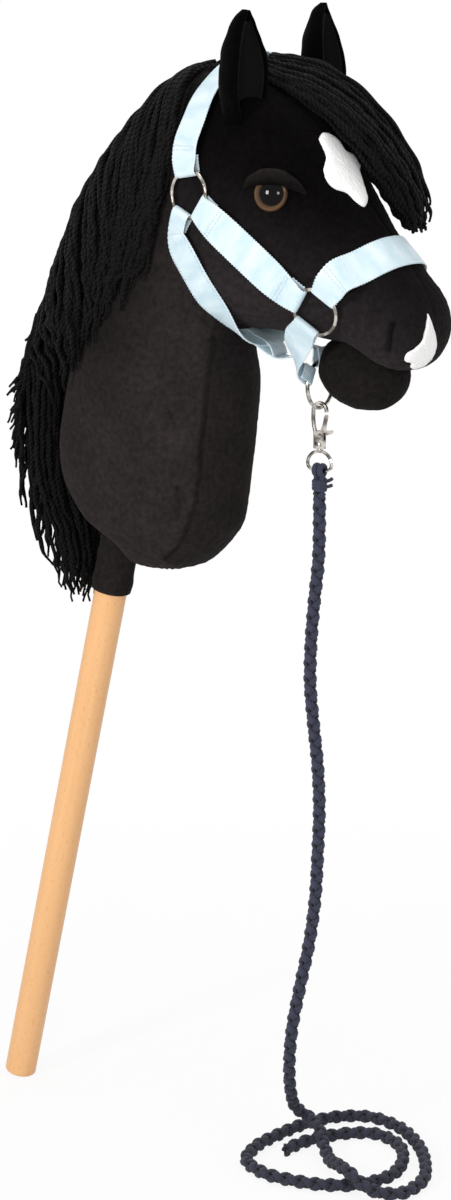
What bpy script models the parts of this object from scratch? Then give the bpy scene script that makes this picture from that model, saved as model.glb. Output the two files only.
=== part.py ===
"""Hobby horse: a stuffed plush head and neck on a beech stick, with a webbing halter and a lead rope.

Metres, +Z up. The horse faces +X and its left side is +Y. The origin is the centre of the stick's
foot face. The stick leans forward as the toy stands in use. The head has axes of its own: along it
from skull to nose, and across it from jaw to forehead, both in the upright middle plane.
"""

import math

import bmesh
import bpy
import numpy as np
from mathutils import Matrix, Vector
from mathutils.bvhtree import BVHTree

# Driving dimensions
STICK_DIAMETER = 0.025
STICK_LENGTH = 0.600
STICK_LEAN = math.radians(13.4)
SLEEVE_START = 0.428
SLEEVE_LENGTH = 0.046
SLEEVE_OUTER_RADIUS = 0.0150
FIT = 0.0003
HEAD_CENTRE = Vector((0.228, 0.0, 0.725))
HEAD_PITCH = math.radians(36.87)
EYE_DIAMETER = 0.025
WEBBING_WIDTH = 0.025
WEBBING_THICKNESS = 0.0012
WEBBING_CLEARANCE = 0.0009
RING_RADIUS = 0.0165
RING_WIRE_RADIUS = 0.0014
CHIN_RING_CENTRE = Vector((0.2875, 0.0, 0.5875))
ROPE_DIAMETER = 0.010
SNAP_SCALE_LENGTH = 0.045

RIGHT = -1
LEFT = 1
SIDES = {"right": RIGHT, "left": LEFT}

for old in list(bpy.data.objects):
    bpy.data.objects.remove(old, do_unlink=True)

parts = bpy.data.collections.new("hobby_horse")
cutters = bpy.data.collections.new("cutters")
bpy.context.scene.collection.children.link(parts)
bpy.context.scene.collection.children.link(cutters)


def material(name, colour, roughness, metallic=0.0):
    made = bpy.data.materials.new(name)
    made.use_nodes = True
    shader = made.node_tree.nodes["Principled BSDF"]
    shader.inputs["Base Color"].default_value = (*colour, 1.0)
    shader.inputs["Roughness"].default_value = roughness
    shader.inputs["Metallic"].default_value = metallic
    return made


PLUSH = ("black_plush", (0.012, 0.012, 0.013), 0.95)
WHITE_PLUSH = ("white_plush", (0.75, 0.74, 0.72), 0.95)
YARN = ("black_yarn", (0.008, 0.008, 0.009), 0.9)
WEBBING = ("light_blue_webbing", (0.42, 0.66, 0.76), 0.45)
NICKEL = ("nickel", (0.72, 0.69, 0.64), 0.2, 1.0)
BEECH = ("beech", (0.75, 0.48, 0.25), 0.5)
EYE_PLASTIC = ("eye_plastic", (0.12, 0.05, 0.02), 0.08)
WASHER_PLASTIC = ("washer_plastic", (0.02, 0.02, 0.02), 0.5)
ROPE = ("navy_rope", (0.015, 0.02, 0.05), 0.85)


def add_object(name, mesh, finish=None):
    """Link a mesh as a part in its own material, or as a hidden cutter when it has no finish."""
    made = bpy.data.objects.new(name, mesh)
    if finish is None:
        cutters.objects.link(made)
        made.hide_render = True
        made.display_type = "WIRE"
        return made
    parts.objects.link(made)
    mesh.materials.append(material(f"{name}_{finish[0]}", *finish[1:]))
    mesh.shade_smooth()
    return made


def cut(target, *tools, operation="DIFFERENCE"):
    """Add one Boolean modifier to the target for each tool."""
    for tool in tools:
        modifier = target.modifiers.new(f"{operation.lower()}_{tool.name}", "BOOLEAN")
        modifier.operation = operation
        modifier.object = tool
    return target


def smooth_table(knots, values, at):
    """Values on a smooth curve through the knots: cubic pieces with three-point slopes."""
    knots = np.asarray(knots, float)
    values = np.asarray(values, float)
    at = np.asarray(at, float)
    slopes = np.gradient(values, knots, axis=0)
    i = np.clip(np.searchsorted(knots, at, side="right") - 1, 0, len(knots) - 2)
    step = (knots[i + 1] - knots[i])[:, None]
    u = (at - knots[i])[:, None] / step
    from_start = (2 * u**3 - 3 * u**2 + 1) * values[i] + (u**3 - 2 * u**2 + u) * step * slopes[i]
    to_end = (3 * u**2 - 2 * u**3) * values[i + 1] + (u**3 - u**2) * step * slopes[i + 1]
    return from_start + to_end


def smooth_path(points, count):
    """Evenly spaced points on a smooth curve through hand-chosen points."""
    points = np.asarray(points, float)
    lengths = np.linalg.norm(np.diff(points, axis=0), axis=1)
    knots = np.concatenate([[0], np.cumsum(lengths)])
    fine = smooth_table(knots, points, np.linspace(0, knots[-1], 40 * len(points)))
    run = np.concatenate([[0], np.cumsum(np.linalg.norm(np.diff(fine, axis=0), axis=1))])
    even = np.linspace(0, run[-1], count)
    return np.stack([np.interp(even, run, fine[:, axis]) for axis in range(fine.shape[1])], axis=1)


def loft(name, rings, start_pole, end_pole, finish=None):
    """Closed skin over rings of points, drawn in to a single point at each end."""
    rings = np.asarray(rings)
    count, around = rings.shape[:2]
    points = [tuple(start_pole), *map(tuple, rings.reshape(-1, 3)), tuple(end_pole)]
    faces = []
    for k in range(around):
        nxt = (k + 1) % around
        faces.append((0, 1 + nxt, 1 + k))
        last = 1 + (count - 1) * around
        faces.append((len(points) - 1, last + k, last + nxt))
        for row in range(count - 1):
            a = 1 + row * around
            b = a + around
            faces.append((a + k, a + nxt, b + nxt, b + k))
    mesh = bpy.data.meshes.new(name)
    mesh.from_pydata(points, [], faces)
    outward(mesh)
    return add_object(name, mesh, finish)


def outward(mesh):
    """Turn every face of a closed mesh outwards."""
    work = bmesh.new()
    work.from_mesh(mesh)
    face_out(work)
    work.to_mesh(mesh)
    work.free()


def face_out(work):
    bmesh.ops.recalc_face_normals(work, faces=work.faces)
    if work.calc_volume(signed=True) < 0:
        bmesh.ops.reverse_faces(work, faces=work.faces)


def superellipse(count, power):
    """Unit outline of a rounded box: cosine and sine terms raised to 2 / power, top point first."""
    turn = np.linspace(0, 2 * np.pi, count, endpoint=False)
    c, s = np.cos(turn), np.sin(turn)
    return np.sign(c) * np.abs(c) ** (2 / power), np.sign(s) * np.abs(s) ** (2 / power)


def sheet(name, grid, thickness, finish=None, offset=0.0):
    """An open grid of points given an even thickness."""
    grid = np.asarray(grid)
    rows, columns = grid.shape[:2]
    faces = [
        (r * columns + c, r * columns + c + 1, (r + 1) * columns + c + 1, (r + 1) * columns + c)
        for r in range(rows - 1)
        for c in range(columns - 1)
    ]
    mesh = bpy.data.meshes.new(name)
    mesh.from_pydata([tuple(p) for p in grid.reshape(-1, 3)], [], faces)
    made = add_object(name, mesh, finish)
    wall = made.modifiers.new("thickness", "SOLIDIFY")
    wall.thickness = thickness
    wall.offset = offset
    return made


def turned(name, profile, steps, place, finish=None, closed_profile=False):
    """Turn a profile of (radius, height) points about the local Z axis, then place it."""
    mesh = bpy.data.meshes.new(name)
    count = len(profile)
    edges = [(k, k + 1) for k in range(count - 1)]
    if closed_profile:
        edges.append((count - 1, 0))
    mesh.from_pydata([(r, 0.0, z) for r, z in profile], edges, [])
    made = add_object(name, mesh, finish)
    screw = made.modifiers.new("turn", "SCREW")
    screw.steps = steps
    screw.render_steps = steps
    screw.use_merge_vertices = True
    screw.merge_threshold = 0.00001
    made.matrix_world = place
    return made


def tube(name, points, radius, finish=None, radii=None, cyclic=False, sides=8):
    """Round bar along a run of points, made a mesh so that it can be cut and joined."""
    curve = bpy.data.curves.new(name, "CURVE")
    curve.dimensions = "3D"
    curve.bevel_depth = radius
    curve.bevel_resolution = (sides - 4) // 2
    curve.use_fill_caps = not cyclic
    run = curve.splines.new("POLY")
    run.points.add(len(points) - 1)
    for k, point in enumerate(points):
        run.points[k].co = (*point, 1.0)
        run.points[k].radius = 1.0 if radii is None else radii[k]
    run.use_cyclic_u = cyclic
    made = bpy.data.objects.new(name, curve)
    bpy.context.scene.collection.objects.link(made)
    bpy.context.view_layer.update()
    mesh = bpy.data.meshes.new_from_object(made.evaluated_get(bpy.context.evaluated_depsgraph_get()))
    bpy.data.objects.remove(made)
    work = bmesh.new()
    work.from_mesh(mesh)
    bmesh.ops.remove_doubles(work, verts=work.verts, dist=0.00001)
    face_out(work)
    work.to_mesh(mesh)
    work.free()
    mesh.materials.clear()
    return add_object(name, mesh, finish)


def shell_between(name, inner, outer, finish=None):
    """Closed solid between two grids of the same size."""
    inner, outer = np.asarray(inner), np.asarray(outer)
    rows, columns = inner.shape[:2]
    points = [tuple(p) for p in np.concatenate([inner.reshape(-1, 3), outer.reshape(-1, 3)])]
    layer = rows * columns
    faces = []
    for r in range(rows - 1):
        for c in range(columns - 1):
            a = r * columns + c
            quad = (a, a + 1, a + columns + 1, a + columns)
            faces.append(quad)
            faces.append(tuple(layer + v for v in quad[::-1]))
    border = [c for c in range(columns)]
    border += [r * columns + columns - 1 for r in range(1, rows)]
    border += [(rows - 1) * columns + c for c in range(columns - 2, -1, -1)]
    border += [r * columns for r in range(rows - 2, 0, -1)]
    for a, b in zip(border, border[1:] + border[:1]):
        faces.append((a, b, layer + b, layer + a))
    mesh = bpy.data.meshes.new(name)
    mesh.from_pydata(points, [], faces)
    outward(mesh)
    return add_object(name, mesh, finish)


def evaluated_mesh(made):
    """The object's mesh with its modifiers, in world space."""
    bpy.context.view_layer.update()
    graph = bpy.context.evaluated_depsgraph_get()
    mesh = bpy.data.meshes.new_from_object(made.evaluated_get(graph))
    mesh.transform(made.matrix_world)
    return mesh


# The head's own axes
HEAD_ALONG = Vector((math.cos(HEAD_PITCH), 0.0, -math.sin(HEAD_PITCH)))
HEAD_ACROSS = Vector((math.sin(HEAD_PITCH), 0.0, math.cos(HEAD_PITCH)))


def on_head(along, across, y=0.0):
    """A point given along and across the head, and sideways from the middle plane."""
    return HEAD_CENTRE + HEAD_ALONG * along + HEAD_ACROSS * across + Vector((0.0, y, 0.0))


# Stick: plain round beech dowel, its foot edge eased
stick_axis = Vector((math.sin(STICK_LEAN), 0.0, math.cos(STICK_LEAN)))
stick_turn = Matrix.Rotation(STICK_LEAN, 4, "Y")
STICK_SIDES = 24
work = bmesh.new()
bmesh.ops.create_cone(
    work,
    cap_ends=True,
    segments=STICK_SIDES,
    radius1=STICK_DIAMETER / 2,
    radius2=STICK_DIAMETER / 2,
    depth=STICK_LENGTH,
)
stick_mesh = bpy.data.meshes.new("stick")
work.to_mesh(stick_mesh)
work.free()
stick = add_object("stick", stick_mesh, BEECH)
stick.matrix_world = Matrix.Translation(stick_axis * STICK_LENGTH / 2) @ stick_turn
eased = stick.modifiers.new("eased_ends", "BEVEL")
eased.width = 0.0012
eased.segments = 2
eased.limit_method = "ANGLE"

# Head: stuffed plush, lofted through sections across its own axis, from skull to nose.
# Each section: place along, top, bottom, half width, squareness, narrowing towards the top.
HEAD_SECTIONS = (
    (-0.0610, 0.034, 0.004, 0.013, 2.0, 0.00),
    (-0.0560, 0.053, -0.016, 0.030, 2.1, 0.00),
    (-0.0450, 0.067, -0.038, 0.043, 2.2, 0.00),
    (-0.0250, 0.0735, -0.058, 0.0520, 2.35, 0.01),
    (0.0000, 0.0745, -0.072, 0.0550, 2.5, 0.02),
    (0.0250, 0.0725, -0.081, 0.0560, 2.6, 0.04),
    (0.0450, 0.0665, -0.082, 0.0550, 2.55, 0.06),
    (0.0650, 0.0590, -0.0745, 0.0520, 2.4, 0.08),
    (0.0900, 0.0510, -0.058, 0.0465, 2.35, 0.09),
    (0.1150, 0.0440, -0.043, 0.0420, 2.35, 0.08),
    (0.1350, 0.0400, -0.031, 0.0410, 2.4, 0.06),
    (0.1530, 0.0345, -0.0245, 0.0415, 2.5, 0.04),
    (0.1680, 0.0265, -0.0220, 0.0395, 2.5, 0.02),
    (0.1780, 0.0155, -0.0195, 0.0330, 2.3, 0.00),
    (0.1840, 0.0060, -0.0120, 0.0200, 2.0, 0.00),
)
HEAD_BACK = (-0.0625, 0.018)
HEAD_NOSE = (0.1862, -0.0035)
HEAD_RINGS = 21
HEAD_AROUND = 24


def head_rings(extra=0.0, rings=HEAD_RINGS, around=HEAD_AROUND):
    """Points of the head's rings, swollen evenly by extra."""
    table = np.array(HEAD_SECTIONS)
    knots = np.arange(len(table))
    rows = smooth_table(knots, table, np.linspace(0, len(table) - 1, rings))
    found = []
    for place, top, bottom, half_width, power, narrowing in rows:
        up, side = superellipse(around, power)
        across = (top + bottom) / 2 + ((top - bottom) / 2 + extra) * up
        y = (half_width + extra) * side * (1 - narrowing * up)
        found.append([on_head(place, a, b) for a, b in zip(across, y)])
    return found


def head_shape(name, extra, finish=None):
    back = on_head(HEAD_BACK[0] - extra, HEAD_BACK[1])
    nose = on_head(HEAD_NOSE[0] + extra, HEAD_NOSE[1])
    return loft(name, head_rings(extra), back, nose, finish)


head = head_shape("head", 0.0, PLUSH)
head_cutter = head_shape("head_cutter", 2 * FIT)

# Neck: sections between a point on the mane's crest and one at the throat, with a half width.
# Each section: crest x, crest z, throat x, throat z, half width.
NECK_SECTIONS = (
    (0.1370, 0.4405, 0.1680, 0.4405, 0.012),
    (0.1250, 0.4440, 0.1780, 0.4440, 0.022),
    (0.1190, 0.4500, 0.1885, 0.4500, 0.030),
    (0.1120, 0.4580, 0.1985, 0.4580, 0.037),
    (0.1005, 0.4670, 0.2055, 0.4670, 0.043),
    (0.0865, 0.4790, 0.2115, 0.4790, 0.048),
    (0.0710, 0.5000, 0.2160, 0.5000, 0.052),
    (0.0675, 0.5270, 0.2195, 0.5270, 0.054),
    (0.0700, 0.5580, 0.2225, 0.5540, 0.054),
    (0.0780, 0.5930, 0.2245, 0.5860, 0.053),
    (0.0880, 0.6270, 0.2175, 0.6170, 0.0515),
    (0.0980, 0.6600, 0.2230, 0.6420, 0.0500),
    (0.1100, 0.6920, 0.2370, 0.6600, 0.0485),
    (0.1260, 0.7220, 0.2430, 0.6800, 0.0470),
    (0.1460, 0.7500, 0.2490, 0.7020, 0.0440),
    (0.1690, 0.7770, 0.2530, 0.7280, 0.0390),
    (0.1920, 0.7965, 0.2510, 0.7560, 0.0310),
    (0.2110, 0.8050, 0.2450, 0.7780, 0.0190),
)
NECK_FOOT = (0.1525, 0.4390)
NECK_TOP = (0.2320, 0.7980)
NECK_RINGS = 20
NECK_AROUND = 24
NECK_SQUARENESS = 2.35


def neck_ring(level, extra, around=NECK_AROUND, turn=None):
    """Points round the neck at a level from 0 (foot) to 1 (poll); the crest point comes first."""
    table = np.array(NECK_SECTIONS)
    row = smooth_table(np.arange(len(table)), table, [level * (len(table) - 1)])[0]
    crest = np.array([row[0], 0.0, row[1]])
    throat = np.array([row[2], 0.0, row[3]])
    half = np.linalg.norm(throat - crest) / 2
    back = (crest - throat) / (2 * half)
    if turn is None:
        c, s = superellipse(around, NECK_SQUARENESS)
    else:
        power = 2 / NECK_SQUARENESS
        c = np.sign(np.cos(turn)) * np.abs(np.cos(turn)) ** power
        s = np.sign(np.sin(turn)) * np.abs(np.sin(turn)) ** power
    middle = (crest + throat) / 2
    extra = np.broadcast_to(extra, c.shape)
    depth = ((half + extra) * c)[:, None] * back
    width = ((row[4] + extra) * s)[:, None] * np.array([0.0, 1.0, 0.0])
    return middle + depth + width


def neck_shape(name, extra, finish=None):
    rings = [neck_ring(level, extra) for level in np.linspace(0, 1, NECK_RINGS)]
    foot = (NECK_FOOT[0], 0.0, NECK_FOOT[1] - extra)
    top = (NECK_TOP[0], 0.0, NECK_TOP[1] + extra)
    return loft(name, rings, foot, top, finish)


neck = neck_shape("neck", 0.0, PLUSH)
neck_cutter = neck_shape("neck_cutter", 2 * FIT)
STICK_POCKET = STICK_DIAMETER / 2 + FIT
pocket = turned(
    "stick_pocket",
    [(0.0, STICK_LENGTH + FIT), (STICK_POCKET, STICK_LENGTH + FIT), (STICK_POCKET, 0.35), (0.0, 0.35)],
    STICK_SIDES,
    stick_turn,
)
cut(neck, head_cutter, pocket)

# Sleeve: the neck's fabric drawn down the stick, with a turned hem
SLEEVE_BORE = STICK_POCKET
HEM_HEIGHT = 0.009
HEM_SWELL = 0.0008
sleeve_top = SLEEVE_START + SLEEVE_LENGTH
sleeve = turned(
    "stick_sleeve",
    [
        (SLEEVE_BORE, sleeve_top),
        (SLEEVE_OUTER_RADIUS, sleeve_top),
        (SLEEVE_OUTER_RADIUS, SLEEVE_START + HEM_HEIGHT),
        (SLEEVE_OUTER_RADIUS + HEM_SWELL, SLEEVE_START + HEM_HEIGHT * 0.7),
        (SLEEVE_OUTER_RADIUS + HEM_SWELL, SLEEVE_START + HEM_SWELL),
        (SLEEVE_OUTER_RADIUS, SLEEVE_START),
        (SLEEVE_BORE, SLEEVE_START),
    ],
    STICK_SIDES,
    stick_turn,
    PLUSH,
    closed_profile=True,
)
cut(sleeve, neck_cutter)

# Lower jaw: a stuffed chin sewn under the muzzle, cut to seat against it
JAW_CENTRE = Vector((0.3240, 0.0, 0.5995))
JAW_HALF = (0.0325, 0.0285, 0.0260)
JAW_PITCH = math.radians(14)
JAW_SQUARENESS = 2.2
jaw_turn = Matrix.Rotation(JAW_PITCH, 3, "Y")
jaw_rings = []
for angle in np.radians([16, 34, 52, 71, 90, 109, 128, 146, 164]):
    up, side = superellipse(18, JAW_SQUARENESS)
    x = -JAW_HALF[0] * math.cos(angle)
    swell = math.sin(angle) ** 0.85
    jaw_rings.append(
        [
            JAW_CENTRE + jaw_turn @ Vector((x, JAW_HALF[1] * swell * b, JAW_HALF[2] * swell * a))
            for a, b in zip(up, side)
        ]
    )
jaw_reach = jaw_turn @ Vector((JAW_HALF[0], 0.0, 0.0))
jaw = loft("lower_jaw", jaw_rings, JAW_CENTRE - jaw_reach, JAW_CENTRE + jaw_reach, PLUSH)
cut(jaw, head_cutter)

# The one outer surface that the halter and the face pieces lie on
skin_shape = cut(head_shape("skin_head", 0.0), neck_shape("skin_neck", 0.0), operation="UNION")
work = bmesh.new()
work.from_mesh(evaluated_mesh(skin_shape))
skin = BVHTree.FromBMesh(work)
work.free()


def first_hit(start, direction):
    """The first point and normal of the plush met along a ray."""
    return skin.ray_cast(start, direction)


def lifted(point, height):
    """Move a point out until it stands at least this height over the plush."""
    point = Vector(point)
    for _ in range(4):
        near, normal, _, distance = skin.find_nearest(point)
        if (point - near).dot(normal) >= 0 and distance >= height * 0.999:
            break
        point = near + normal * height
    return point


def side_frame(along, across, side):
    """Place and outward normal on the head's side, the normal averaged over a small patch."""
    start = on_head(along, across, side * 0.2)
    inward = Vector((0.0, -side, 0.0))
    place = first_hit(start, inward)[0]
    normal = Vector()
    for u in (-0.009, 0.0, 0.009):
        for v in (-0.009, 0.0, 0.009):
            normal += first_hit(on_head(along + u, across + v, side * 0.2), inward)[1]
    return place, normal.normalized()


# Safety eyes: a domed disc with a ribbed stem, pushed through the plush and locked by a washer
EYE_ALONG = 0.0420
EYE_ACROSS = 0.0285
EYE_SINK = 0.0012
EYE_RADIUS = EYE_DIAMETER / 2
EYE_DOME = 0.0068
STEM_RADIUS = 0.0026
STEM_LENGTH = 0.0130
WASHER_RADIUS = 0.0080
WASHER_TOP = -0.0065
WASHER_THICKNESS = 0.0016
EYE_STEPS = 18


def outward_place(place, normal, up=Vector((0.0, 0.0, 1.0))):
    """Matrix whose local Z is the normal and local Y is as near up as it can be."""
    right = up.cross(normal).normalized()
    above = normal.cross(right)
    turn = Matrix((right, above, normal)).transposed().to_4x4()
    return Matrix.Translation(place) @ turn


eye_places = {}
for word, side in SIDES.items():
    place, normal = side_frame(EYE_ALONG, EYE_ACROSS, side)
    seat = outward_place(place - normal * EYE_SINK, normal)
    eye_places[word] = seat
    dome = [
        (EYE_RADIUS * math.sin(a), 0.0012 + (EYE_DOME - 0.0012) * math.cos(a))
        for a in np.radians([0, 22, 45, 68, 90])
    ]
    dome[0] = (0.0, EYE_DOME)
    stem = [(EYE_RADIUS, 0.0), (STEM_RADIUS, 0.0), (STEM_RADIUS, -STEM_LENGTH), (0.0, -STEM_LENGTH)]
    turned(f"eye_{word}", dome + stem, EYE_STEPS, seat, EYE_PLASTIC)
    turned(
        f"eye_washer_{word}",
        [
            (STEM_RADIUS + FIT, WASHER_TOP),
            (WASHER_RADIUS, WASHER_TOP),
            (WASHER_RADIUS, WASHER_TOP - WASHER_THICKNESS),
            (STEM_RADIUS + FIT, WASHER_TOP - WASHER_THICKNESS),
        ],
        EYE_STEPS,
        seat,
        WASHER_PLASTIC,
        closed_profile=True,
    )
    hole = STEM_RADIUS + 2 * FIT
    wide = WASHER_RADIUS + FIT
    eye_cutter = turned(
        f"eye_seat_{word}",
        [
            (0.0, 0.009),
            (EYE_RADIUS + FIT, 0.009),
            (EYE_RADIUS + FIT, -FIT),
            (hole, -FIT),
            (hole, WASHER_TOP + FIT),
            (wide, WASHER_TOP + FIT),
            (wide, WASHER_TOP - WASHER_THICKNESS - FIT),
            (hole, WASHER_TOP - WASHER_THICKNESS - FIT),
            (hole, -STEM_LENGTH - FIT),
            (0.0, -STEM_LENGTH - FIT),
        ],
        EYE_STEPS,
        seat,
    )
    cut(head, eye_cutter)

    # Eyelid: a folded plush hood over the eye, thin at both corners
    lid_route = [(-0.0235, 0.0050), (-0.0160, 0.0120), (-0.0050, 0.0165), (0.0070, 0.0165),
                 (0.0180, 0.0105), (0.0290, 0.0020)]
    lid_points = []
    for forward, above in smooth_path(lid_route, 10):
        start = eye_places[word].translation + Vector((forward, side * 0.1, above))
        near, normal_here = first_hit(start, Vector((0.0, -side, 0.0)))[:2]
        lid_points.append(near + normal_here * 0.0012)
    swell = np.sin(np.linspace(0.12, np.pi - 0.12, 10)) ** 0.7
    lid = tube(f"eyelid_{word}", lid_points, 0.0036, PLUSH, radii=swell, sides=8)
    lid_seat = turned(
        f"lid_clearance_{word}",
        [(0.0, 0.02), (EYE_RADIUS + 2 * FIT, 0.02), (EYE_RADIUS + 2 * FIT, -0.003), (0.0, -0.003)],
        EYE_STEPS,
        seat,
    )
    cut(lid, head_cutter, lid_seat)

# Ears: cupped plush leaves with a thin lining, their hollow side forward and a little out
EAR_HALF_WIDTH = 0.0195
EAR_DEPTH = 1.2
EAR_WALL = 0.0040
EAR_LINING = 0.0012
EAR_ROWS = 9
EAR_COLUMNS = 7
EAR_BASES = {RIGHT: (0.2443, 0.0433, 0.7740), LEFT: (0.2546, 0.0446, 0.7760)}
EAR_TIPS = {RIGHT: (0.2545, 0.0462, 0.8450), LEFT: (0.2562, 0.0476, 0.8510)}
EAR_FACING = math.radians(4)
EAR_WIDTHS = ((0.0, 0.86), (0.2, 0.97), (0.42, 1.0), (0.65, 0.83), (0.84, 0.52), (1.0, 0.15))


def ear_layer(side, inset, reach=1.0, shrink=1.0):
    """Leaf surface: rows from base to tip, columns round the cup; inset moves it into the cup."""
    base, tip = Vector(EAR_BASES[side]), Vector(EAR_TIPS[side])
    base.y *= side
    tip.y *= side
    up = (tip - base).normalized()
    facing = Vector((math.cos(EAR_FACING), side * math.sin(EAR_FACING), 0.0))
    facing = (facing - up * facing.dot(up)).normalized()
    across = up.cross(facing)
    places, widths = np.array(EAR_WIDTHS).T
    grid = []
    for h in np.linspace(0.0, reach, EAR_ROWS):
        width = EAR_HALF_WIDTH * smooth_table(places, widths[:, None], [h])[0, 0]
        depth = EAR_DEPTH * width
        middle = 0.45 * depth * (1 - h**3)
        row = []
        for turn in np.radians(np.linspace(-88, 88, EAR_COLUMNS) * shrink):
            narrow = max(0.25, 1 - inset / max(width, 0.001))
            place = across * width * narrow * math.sin(turn)
            place += facing * (middle + inset * 0.7 - depth * narrow * math.cos(turn))
            row.append(base + (tip - base) * h + place)
        grid.append(row)
    return grid


ear_clearances = {}
for word, side in SIDES.items():
    ear = shell_between(f"ear_{word}", ear_layer(side, EAR_WALL), ear_layer(side, 0.0), PLUSH)
    cut(ear, head_cutter)
    ear_clearances[side] = shell_between(f"ear_clearance_{word}", ear_layer(side, EAR_WALL + 0.003),
                                         ear_layer(side, -2 * FIT))
    lining = shell_between(
        f"ear_lining_{word}",
        ear_layer(side, EAR_WALL + 2 * FIT + EAR_LINING, reach=0.86, shrink=0.86),
        ear_layer(side, EAR_WALL + 2 * FIT, reach=0.86, shrink=0.86),
        PLUSH,
    )
    cut(lining, head_cutter)

# White plush markings: a star on the forehead and a snip on the nose, as thin sewn patches.
# Each outline: place along the head from the patch's middle, and sideways from the middle plane.
PATCH_THICKNESS = 0.0014
STAR_ALONG = 0.0560
STAR_SIDE = -0.0085
STAR_OUTLINE = (
    (-0.0215, -0.0100), (-0.0250, -0.0030), (-0.0229, 0.0043), (-0.0185, 0.0088), (-0.0109, 0.0100),
    (-0.0055, 0.0205), (-0.0004, 0.0220), (0.0047, 0.0166), (0.0146, 0.0120), (0.0289, 0.0039), (0.0311, -0.0016),
    (0.0265, -0.0055), (0.0185, -0.0088), (0.0116, -0.0160), (0.0054, -0.0184), (-0.0019, -0.0178),
    (-0.0092, -0.0122), (-0.0160, -0.0108),
)
SNIP_ACROSS = 0.0080
SNIP_SIDE = -0.0110
SNIP_OUTLINE = (
    (0.0175, 0.0025), (0.0110, 0.0075), (0.0040, 0.0125), (-0.0050, 0.0140), (-0.0140, 0.0115),
    (-0.0175, 0.0060), (-0.0175, -0.0030), (-0.0125, -0.0080), (-0.0110, -0.0150), (-0.0070, -0.0165),
    (-0.0020, -0.0110), (0.0030, -0.0050), (0.0100, -0.0015),
)


def patch(name, outline, project):
    """Thin solid over the plush: rings of the outline shrunk to its middle, each point projected."""
    outline = np.asarray(outline)
    middle = outline.mean(axis=0)
    shrinks = (1.0, 0.66, 0.33)
    count = len(outline)
    points = []
    for lift in (2 * FIT, 2 * FIT + PATCH_THICKNESS):
        for shrink in shrinks:
            points += [project(*(middle + (p - middle) * shrink), lift) for p in outline]
        points.append(project(*middle, lift))
    layer = len(shrinks) * count + 1
    faces = []
    for k in range(count):
        nxt = (k + 1) % count
        for base in (0, layer):
            for ring in range(len(shrinks) - 1):
                a = base + ring * count
                faces.append((a + k, a + nxt, a + count + nxt, a + count + k))
            inner = base + (len(shrinks) - 1) * count
            faces.append((inner + k, inner + nxt, base + layer - 1))
        faces.append((k, nxt, layer + nxt, layer + k))
    mesh = bpy.data.meshes.new(name)
    mesh.from_pydata([tuple(p) for p in points], [], faces)
    outward(mesh)
    return add_object(name, mesh, WHITE_PLUSH)


def on_forehead(along, y, lift):
    near, normal = first_hit(on_head(STAR_ALONG + along, 0.2, STAR_SIDE + y), -HEAD_ACROSS)[:2]
    return near + normal * lift


def on_nose(across, y, lift):
    near, normal = first_hit(on_head(0.35, SNIP_ACROSS + across, SNIP_SIDE + y), -HEAD_ALONG)[:2]
    return near + normal * lift


patch("star_patch", STAR_OUTLINE, on_forehead)
cut(patch("snip_patch", SNIP_OUTLINE, on_nose), head_cutter)

# Halter rings: nickel wire rings flat against the cheeks, and one hanging behind the chin
RING_STEPS = 20
RING_PLACES = {"upper": (-0.0075, -0.0110), "lower": (0.1150, -0.0130)}
FOLD_RADIUS = RING_WIRE_RADIUS + 0.00062 + WEBBING_THICKNESS / 2
RING_HEIGHT = FOLD_RADIUS + WEBBING_THICKNESS / 2 + 0.0005


def wire_ring(name, place):
    profile = [
        (RING_RADIUS + RING_WIRE_RADIUS * math.cos(a), RING_WIRE_RADIUS * math.sin(a))
        for a in np.linspace(0, -2 * np.pi, 6, endpoint=False)
    ]
    return turned(name, profile, RING_STEPS, place, NICKEL, closed_profile=True)


def ring_seat(along, across, side):
    """Centre and normal of a ring that rests over the cheek: the plane through the skin below it."""
    turns = np.linspace(0, 2 * np.pi, 12, endpoint=False)
    start = [on_head(along + RING_RADIUS * math.cos(a), across + RING_RADIUS * math.sin(a), side * 0.2)
             for a in turns]
    found = np.array([first_hit(p, Vector((0.0, -side, 0.0)))[0] for p in start])
    middle = Vector(found.mean(axis=0))
    normal = Vector(np.linalg.svd(found - found.mean(axis=0))[2][2])
    normal *= side * (1 if normal.y > 0 else -1)
    first = normal.orthogonal().normalized()
    second = normal.cross(first)
    lift = 0.0
    for a in turns:
        wire = middle + (first * math.cos(a) + second * math.sin(a)) * RING_RADIUS
        near, outwards = skin.find_nearest(wire)[:2]
        lift = max(lift, RING_HEIGHT - (wire - near).dot(outwards))
    return middle + normal * lift, normal


rings = {}
for level, (along, across) in RING_PLACES.items():
    for word, side in SIDES.items():
        rings[level, word] = ring_seat(along, across, side)
        wire_ring(f"{level}_ring_{word}", outward_place(*rings[level, word]))
rings["chin", "middle"] = (CHIN_RING_CENTRE, Vector((1.0, 0.0, 0.0)))
wire_ring("chin_ring", outward_place(*rings["chin", "middle"]))

# Webbing: every strap is folded over a ring at its end and sewn back on itself.
FOLD_LENGTH = 0.013
FOLD_HALF_WIDTH = 0.0096
STRAP_COLUMNS = 4
LAY_HEIGHT = WEBBING_CLEARANCE + WEBBING_THICKNESS / 2
DOUBLE_HEIGHT = LAY_HEIGHT + WEBBING_THICKNESS + 0.0004


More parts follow.
